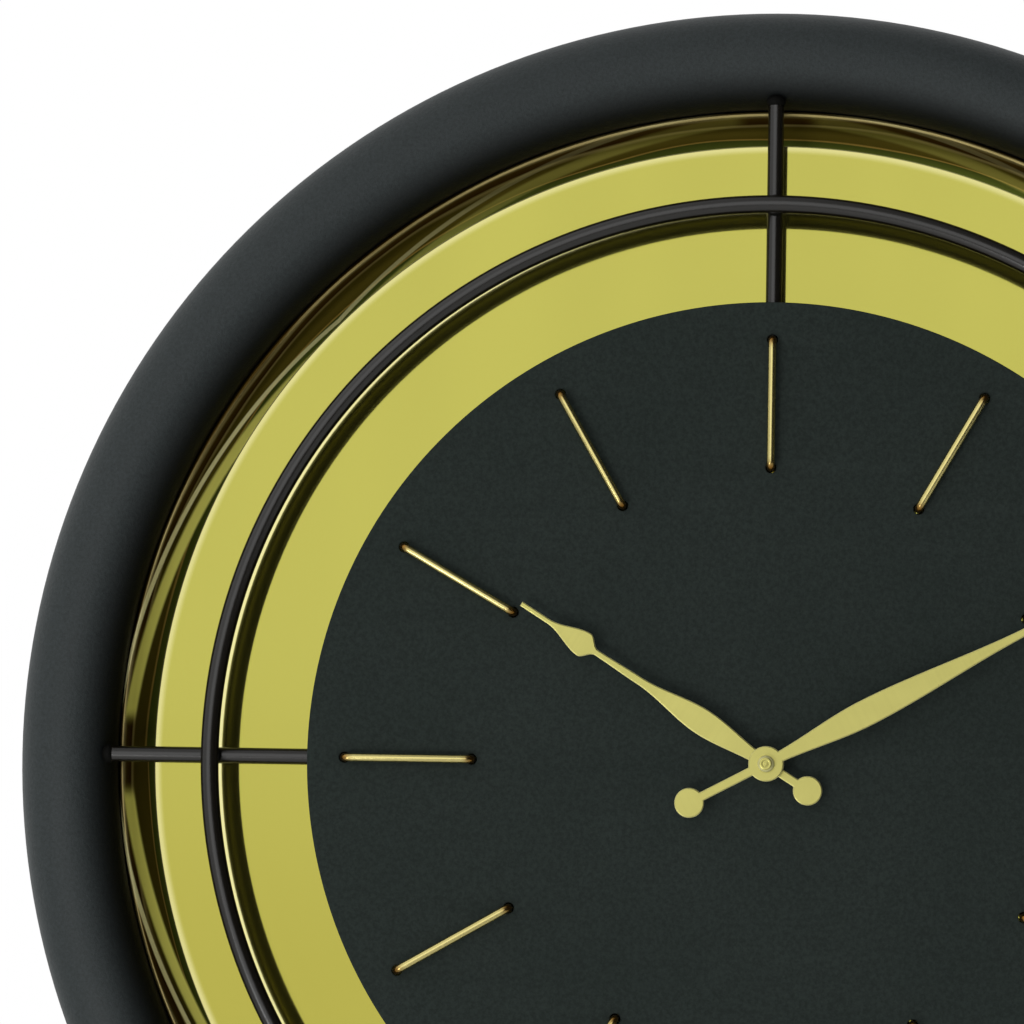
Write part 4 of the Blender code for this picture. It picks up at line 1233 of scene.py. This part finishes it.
@dataclass
class Grille:
    """Four spokes and the wire ring that crosses them."""

    ring: float = 222.5
    wire: float = 3.6
    spoke: float = 3.2
    spoke_level: float = 51.7
    inner_end: float = 150.0
    outer_end: float = 263.2
    ring_level: float = 58.8
    frame_weld: float = 264.4

    def build(self) -> None:
        """Make the ring, the spokes and their welds."""
        section = [(self.ring + self.wire * math.cos(a), self.ring_level + self.wire * math.sin(a))
                   for a in (math.tau * i / 32 for i in range(32))]
        piece("ring_wire", turned("ring_wire", section, 288), "rod_black", "clock_body", ["wire_ring"])
        for hour, turn in ((12, 90.0), (3, 0.0), (6, 270.0), (9, 180.0)):
            start = (*polar(self.inner_end, turn), self.spoke_level)
            end = (*polar(self.outer_end, turn), self.spoke_level)
            piece(f"spoke_rod_{hour}", rod("spoke_rod", start, end, self.spoke), "rod_black", "clock_body",
                  [f"spoke_{hour}"])
        Domes("ring_welds", "weld", "clock_body", 4,
              {"Radius": self.ring, "Level": 55.1, "Width": 4.3, "Length": 4.1, "Height": 2.0},
              slot="rod_black").build()
        Domes("frame_welds", "weld", "clock_body", 4,
              {"Radius": self.frame_weld, "Level": 51.6, "Width": 2.8, "Length": 3.9, "Height": 3.9},
              slot="rod_black").build()


@dataclass
class Dial:
    """Floating dial with its drilled holes and the staples that mark the hours."""

    radius: float = 183.5
    bore: float = 4.3
    holes: Point2 = (117.5, 168.5)
    hole_radius: float = 2.1
    bevel: float = 0.45
    marker_wire: float = 1.65
    marker_bend: float = 2.3
    marker_foot: float = 1.8
    marker_rise: float = 3.0

    def build(self) -> None:
        """Make the disc and its markers."""
        back, front = node_levels("dial_disc")
        outlines = [circle(self.radius, 256), circle(self.bore, 40)]
        for hour in range(12):
            for radius in self.holes:
                outlines.append(circle(self.hole_radius, 24, polar(radius, 30.0 * hour)))
        piece("dial_plate", plate("dial_plate", outlines, back, front, self.bevel, rounding=3),
              "dial_black", "clock_body", ["dial_disc"])
        Staples("hour_markers", "gold_wire", "clock_body", 12,
                {"Inner": self.holes[0], "Outer": self.holes[1], "Foot": front - self.marker_foot,
                 "Top": front + self.marker_rise, "Wire": self.marker_wire, "Bend": self.marker_bend},
                replaces=[f"marker_{i}" for i in range(1, 13)]).build()


@dataclass
class Hand:
    """One spade hand cut from sheet, with a counterweight disc on its tail."""

    name: str
    node: str
    body: str
    bearing: float
    blade: Sequence[Point2]
    tail: float
    tail_radius: float
    arm: float
    bore: float
    hub: float = 7.0
    bevel: float = 0.46

    def half_width(self, at: float) -> float:
        """Half of the hand's width at a distance along it.

        Args:
            at: the distance from its axis, negative on the tail.

        Returns:
            The half width, in millimetres.
        """
        eased = 0.0
        for (near, near_w), (far, far_w) in zip(self.blade, self.blade[1:]):
            if near <= at <= far:
                share = (at - near) / (far - near)
                share = share * share * (3.0 - 2.0 * share)
                eased = near_w + (far_w - near_w) * share
        arm = self.arm if -self.tail <= at <= 0.0 else 0.0
        hub = math.sqrt(max(0.0, self.hub ** 2 - at ** 2))
        disc = math.sqrt(max(0.0, self.tail_radius ** 2 - (at + self.tail) ** 2))
        return max(eased, arm, hub, disc)

    def outline(self) -> list[Point2]:
        """Closed outline along the X axis, finely stepped where it is round.

        Returns:
            Its points, anticlockwise.
        """
        tip = self.blade[-1][0]
        tail_end = -self.tail - self.tail_radius
        stations = [-self.tail - self.tail_radius * math.cos(math.radians(a)) for a in range(0, 180, 9)]
        stations += [-self.hub * math.cos(math.radians(a)) for a in range(0, 181, 9)]
        stations += [self.hub + (tip - self.hub) * i / 96.0 for i in range(97)]
        upper = [(at, self.half_width(at)) for at in sorted(set(round(s, 3) for s in stations))
                 if at > tail_end + 0.01]
        lower = [(at, -half) for at, half in reversed(upper)]
        return upper + lower + [(tail_end, 0.0)]

    def build(self) -> bpy.types.Object:
        """Make the hand with a bevel round its edge, which its finish gives a painted highlight.

        Returns:
            The piece.
        """
        back, front = node_levels(self.node)
        mesh = plate(self.name, [self.outline(), circle(self.bore, 36)], back, front, self.bevel,
                     turn=90.0 - self.bearing, rounding=1)
        return piece(self.name, mesh, "hand_gold", self.body, [self.node], smooth=20.0)


@dataclass
class Hands:
    """Hour and minute hands, the nut that holds them and the bush behind."""

    hour_bearing: float = 302.3
    minute_bearing: float = 62.2

    def nut(self) -> bpy.types.Object:
        """Small round nut with a turned groove and a centre dot.

        Returns:
            The piece.
        """
        back, front = node_levels("hand_nut")
        profile = [(0.0, front - 0.15), (0.55, front - 0.2), (0.7, front - 0.65), (1.25, front - 0.7),
                   (1.45, front - 0.1), (1.9, front), (2.5, front - 0.15), (2.95, front - 0.6),
                   (3.3, front - 1.1), (3.3, back), (1.6, back), (1.6, back + 1.6), (0.0, back + 1.6)]
        return piece("hand_cap", turned("hand_cap", profile, 64, closed=False), "hand_gold",
                     "minute_train", ["hand_nut"])

    def collar(self) -> bpy.types.Object:
        """Chamfered hexagon nut that clamps the dial.

        Returns:
            The piece.
        """
        back, front = node_levels("fixing_nut")
        mesh = plate("dial_nut", [circle(6.8, 6), circle(4.3, 48)], back, front, 0.4)
        return piece("dial_nut", mesh, "brass", "clock_body", ["fixing_nut"], smooth=30.0)

    def build(self) -> None:
        """Make both hands and their fixings."""
        Hand("hour_blade", "hour_hand", "hour_train", self.hour_bearing,
             [(0.0, 2.2), (30.0, 5.2), (60.0, 1.6), (80.5, 1.2), (86.0, 5.2), (103.0, 1.0), (116.0, 1.0)],
             19.4, 5.8, 1.75, 2.7).build()
        Hand("minute_blade", "minute_hand", "minute_train", self.minute_bearing,
             [(0.0, 2.0), (44.0, 5.3), (118.0, 1.5), (134.0, 1.2), (139.5, 5.2), (156.0, 1.0),
              (168.0, 1.0)], 34.0, 5.9, 1.8, 1.6).build()
        self.nut()
        self.collar()


@dataclass
class Pendulum:
    """Rod, domed bob with its back plate, and the knurled rating nut."""

    rod_radius: float = 1.5
    bob: float = 42.0
    bob_y: float = -368.0

    def build(self) -> None:
        """Make the visible parts of the pendulum."""
        level = 6.0
        low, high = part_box("pendulum_rod")
        piece("swing_rod", rod("swing_rod", (0.0, low.z / MM, level), (0.0, high.z / MM, level),
                               self.rod_radius), "brass", "pendulum", ["pendulum_rod"])
        centre = (0.0, self.bob_y)
        back, front = node_levels("pendulum_bob")
        dome = [(self.bob * math.sin(math.radians(a)) / math.sin(math.radians(30.0)),
                 front - 0.5 - (1.0 - math.cos(math.radians(a))) * 28.0) for a in range(0, 29, 2)]
        bead = arc((self.bob - 1.3, back + 1.35), 1.25, 115.0, -90.0, 10)
        under = [(self.bob - 3.0, back + 0.3), (self.bob * 0.8, back + 1.0), (self.bob * 0.45, back + 2.6),
                 (0.0, back + 3.2)]
        piece("bob_dome", turned("bob_dome", dome + bead + under, 144, centre, closed=False),
              "bob_gold", "pendulum", ["pendulum_bob"])
        b_back, b_front = node_levels("bob_back")
        disc = [(0.0, b_front), (40.4, b_front), (41.0, b_front - 0.3), (41.0, b_back + 0.3),
                (40.4, b_back), (30.0, b_back), (29.4, b_back + 0.3), (28.0, b_back + 0.3),
                (27.4, b_back), (0.0, b_back)]
        piece("bob_plate", turned("bob_plate", disc, 144, centre, closed=False), "rod_black", "pendulum",
              ["bob_back"])
        self.rating_nut(level)

    def rating_nut(self, level: float) -> None:
        """Nut under the bob, knurled round its grip.

        Args:
            level: height of its axis above the wall.
        """
        low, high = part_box("rating_nut")
        bottom, top = low.z / MM, high.z / MM
        middle = (bottom + top) / 2.0
        half = (top - bottom) / 2.0
        profile = [(3.2, half), (3.75, half - 0.5), (3.75, 0.5 - half), (3.2, -half), (1.8, -half),
                   (1.8, half)]
        lying = Matrix.Rotation(math.radians(-90.0), 3, "X")
        mesh = turned("nut_grip", [(r, z) for r, z in profile], 64, axis=lying)
        mesh.transform(Matrix.Translation(upright(0.0, middle, level)))
        piece("nut_grip", mesh, "brass", "pendulum", ["rating_nut"])
        Ribs("nut_knurl", "brass", "pendulum", 30,
             {"Radius": 3.72, "Level": 0.0, "Thickness": 0.26, "Length": 2.0 * half - 1.4},
             centre=(0.0, middle, level), lay=(0.0, 0.0, 0.0)).build()


@dataclass
class RearFittings:
    """Cover, battery door, hanger, bumpers and cover screws."""

    cover: float = 78.0
    sheet: float = 1.5

    def build(self) -> None:
        """Make everything that shows from behind."""
        door = (-32.0, 32.0, -47.0, -6.0)
        holes = [circle(SCREW_HOLE, 24, at) for at in SCREW_PLACES]
        vents = [rounded(-24.0 + 8.0 * i, -21.2 + 8.0 * i, 30.0, 52.0, 1.3) for i in range(7)]
        plate_outline = rounded(-self.cover, self.cover, -self.cover, self.cover, 2.5)
        mesh = plate("cover_plate", [plate_outline, rounded(*door, 0.6), *holes, *vents], 0.0, self.sheet,
                     0.25)
        piece("cover_plate", mesh, "pan_black", "clock_body", ["rear_cover"], smooth=25.0)
        self.door(door)
        outlines = [rounded(-22.0, 22.0, 184.0, 228.0, 3.0), keyhole(32, 16)]
        mesh = plate("hang_plate", outlines, 0.0, self.sheet, 0.25)
        piece("hang_plate", mesh, "steel", "clock_body", ["hanger_plate"], smooth=25.0)
        Domes("hang_rivets", "steel", "clock_body", 4,
              {"Radius": 23.0, "Level": 0.5, "Width": 2.2, "Length": 2.2, "Height": 0.5},
              first=45.0, centre=(0.0, 206.0, 0.0)).build()
        pads = [turned("pad", [(0.0, 1.5), (7.6, 1.5), (8.0, 1.2), (8.0, 0.5), (7.4, 0.0), (5.0, 0.0),
                               (4.6, 0.35), (2.6, 0.35), (2.2, 0.0), (0.0, 0.0)], 48, (x, -190.0),
                       closed=False) for x in (-120.0, 120.0)]
        piece("wall_pads", joined("wall_pads", pads), "rubber", "clock_body",
              ["wall_bumper_1", "wall_bumper_2"])
        Screws("cover_fixings", "steel", "clock_body", 4,
               {"Radius": SCREW_SIDE * math.sqrt(2.0), "Shank": 1.6, "Length": 5.0}, first=45.0,
               replaces=[f"cover_screw_{i}" for i in range(1, 5)], smooth=30.0).build()

    def door(self, opening: tuple[float, float, float, float]) -> None:
        """Battery door with four grip grooves.

        Args:
            opening: left, right, low and high edge of its opening.
        """
        left, right, low, high = opening
        outline = rounded(left + 0.5, right - 0.5, low + 0.5, high - 0.5, 1.2)
        mesh = plate("door_leaf", [outline], 0.0, self.sheet, 0.25)
        grooves = [plate("groove", [rounded(-9.0, 9.0, y, y + 1.0, 0.4)], -0.6, 0.5, 0.05)
                   for y in (-13.0, -15.4, -17.8, -20.2)]
        piece("door_leaf", cut_out(mesh, grooves), "pan_black", "door", ["battery_door"], smooth=25.0)


@dataclass
class Movement:
    """What shows of the movement: carried-over nodes, coil windings and the knob's grip."""

    def build(self) -> None:
        """Add windings and the knob's ribs, and dress every CAD node that stays."""
        low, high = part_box("coil")
        centre_x = (low.x + high.x) / 2.0 / MM
        length = (high.x - low.x) / MM - 2.6
        level = -(low.y + high.y) / 2.0 / MM
        Turns("coil_turns", "copper", "clock_body", 32, {"Radius": 4.4, "Wire": 0.22},
              pattern=Pattern.ROW, first=-length / 2.0, span=length,
              centre=(centre_x, (low.z + high.z) / 2.0 / MM, level), lay=(0.0, 90.0, 0.0)).build()
        knob_x, knob_y = node_centre("set_knob")
        back = node_levels("set_knob")[0]
        axis = hinge("knob_turn")
        Ribs("knob_grip", "case_plastic", "setting_stem", 24,
             {"Radius": 4.85, "Level": back + 2.0, "Thickness": 0.3, "Length": 3.4},
             centre=(axis.x / MM, axis.z / MM, 0.0)).build()
        self.dress_nodes()

    def dress_nodes(self) -> None:
        """Give each CAD node the finish of its slot."""
        slots = {part["node"]: part["material_slot"] for part in frame["record"]["subparts"]}
        for name, item in frame["nodes"].items():
            material = FINISHES[slots[name]].material()
            item.data.materials.clear()
            item.data.materials.append(material)
            if not item.hide_render:
                LOG.info("%s: CAD node kept, dressed in %s", name, slots[name])


# ---------------------------------------------------------------- studio

@dataclass
class Studio:
    """Floor, soft light and camera."""

    stand_off: float = 2.0576
    aside: float = 0.0770
    height: float = -0.0062
    yaw: float = 5.14
    pitch: float = 2.99
    roll: float = 0.93
    lens: float = 177.3
    floor_level: float = -1.6
    front_light: Point3 = (-0.20, -0.96, 0.20)

    def floor(self) -> None:
        """Plain pale floor well below the clock."""
        shape = bmesh.new()
        bmesh.ops.create_grid(shape, x_segments=1, y_segments=1, size=4.0)
        mesh = bpy.data.meshes.new("studio_floor")
        shape.to_mesh(mesh)
        shape.free()
        mesh.transform(Matrix.Translation((0.0, -1.0, self.floor_level)))
        item = bpy.data.objects.new("studio_floor", mesh)
        bpy.context.scene.collection.objects.link(item)
        mesh.materials.append(Coated("floor_pale", (0.80, 0.80, 0.79), 0.7, grain_size=60.0,
                                     contrast=0.1, mottle=0.1, dust=0.0).material())

    def camera(self) -> None:
        """Long-lens camera, a little to the right of the hands and turned up and left."""
        yaw, pitch, roll = (math.radians(a) for a in (self.yaw, self.pitch, self.roll))
        ahead = Vector((-math.sin(yaw) * math.cos(pitch), math.cos(yaw) * math.cos(pitch), math.sin(pitch)))
        right = ahead.cross(Vector((0.0, 0.0, 1.0))).normalized()
        up = right.cross(ahead)
        side = right * math.cos(roll) + up * math.sin(roll)
        top = up * math.cos(roll) - right * math.sin(roll)
        data = bpy.data.cameras.new("camera")
        data.lens = self.lens
        data.clip_start, data.clip_end = 0.05, 100.0
        item = bpy.data.objects.new("camera", data)
        item.matrix_world = Matrix((
            (side.x, top.x, -ahead.x, self.aside), (side.y, top.y, -ahead.y, -self.stand_off),
            (side.z, top.z, -ahead.z, self.height), (0.0, 0.0, 0.0, 1.0)))
        bpy.context.scene.collection.objects.link(item)
        bpy.context.scene.camera = item

    def card(self, name: str, at: Point3, towards: Point3, size: Point2, power: float,
             colour: Colour = (1.0, 1.0, 1.0)) -> None:
        """Soft rectangular light.

        Args:
            name: its name.
            at: its place, in metres.
            towards: the point that it faces.
            size: its width and height.
            power: its power, in watts.
            colour: its colour.
        """
        data = bpy.data.lights.new(name, "AREA")
        data.shape = "RECTANGLE"
        data.size, data.size_y = size
        data.energy = power
        data.color = colour
        item = bpy.data.objects.new(name, data)
        item.location = at
        item.rotation_mode = "QUATERNION"
        item.rotation_quaternion = (Vector(towards) - Vector(at)).to_track_quat("-Z", "Y")
        bpy.context.scene.collection.objects.link(item)

    def surroundings(self) -> None:
        """White backdrop to the camera; to the clock, a bright front, dim sides and a pale back."""
        world = bpy.data.worlds.new("studio")
        bpy.context.scene.world = world
        world.use_nodes = True
        wiring = Wiring(world.node_tree)
        world.node_tree.nodes.clear()
        direction = wiring.add("ShaderNodeTexCoord").outputs["Generated"]
        parts = wiring.add("ShaderNodeSeparateXYZ", {"Vector": direction}).outputs
        facing = wiring.add("ShaderNodeVectorMath", {0: direction, 1: Vector(self.front_light).normalized()},
                            operation="DOT_PRODUCT").outputs["Value"]
        ahead = wiring.ramp(facing, 0.84, 0.965)
        behind = wiring.ramp(parts["Y"], -0.10, 0.45, 0.0, 1.0)
        left = wiring.ramp(parts["X"], 0.6, -0.8, 0.0, 1.0)
        above = wiring.ramp(parts["Z"], -0.7, 0.8, 0.0, 1.0)
        upper_left = wiring.maths("MULTIPLY", left, wiring.maths("MULTIPLY_ADD", above, 0.65, 0.35))
        side = wiring.maths("MULTIPLY_ADD", upper_left, 0.75, 0.025)
        shade = wiring.maths("MAXIMUM", wiring.maths("MAXIMUM", ahead, side),
                             wiring.maths("MULTIPLY", behind, 0.8))
        grey = wiring.add("ShaderNodeCombineColor", {"Red": shade, "Green": shade, "Blue": shade})
        lit = wiring.add("ShaderNodeBackground", {"Color": grey.outputs[0], "Strength": 1.0})
        white = wiring.add("ShaderNodeBackground", {"Color": (1.0, 1.0, 1.0), "Strength": 1.0})
        seen = wiring.add("ShaderNodeLightPath").outputs["Is Camera Ray"]
        mixed = wiring.add("ShaderNodeMixShader", {0: seen, 1: lit.outputs[0], 2: white.outputs[0]})
        sink = wiring.add("ShaderNodeOutputWorld")
        wiring.feed(sink.inputs["Surface"], mixed.outputs[0])

    def build(self) -> None:
        """Set up the studio."""
        self.floor()
        self.camera()
        self.surroundings()
        self.card("key", (-1.2, -2.3, -1.0), (0.0, 0.0, 0.0), (0.7, 0.7), 10.0)
        bpy.context.scene.view_settings.view_transform = "Standard"


def main() -> None:
    """Build the clock's looks in order, from the surround to the studio."""
    logging.basicConfig(level=logging.INFO, format="%(name)s: %(message)s")
    for part in (Surround(), Grille(), Dial(), Hands(), Pendulum(), RearFittings(), Movement(), Studio()):
        LOG.info("building %s", type(part).__name__)
        part.build()


if __name__ == "__main__":
    main()
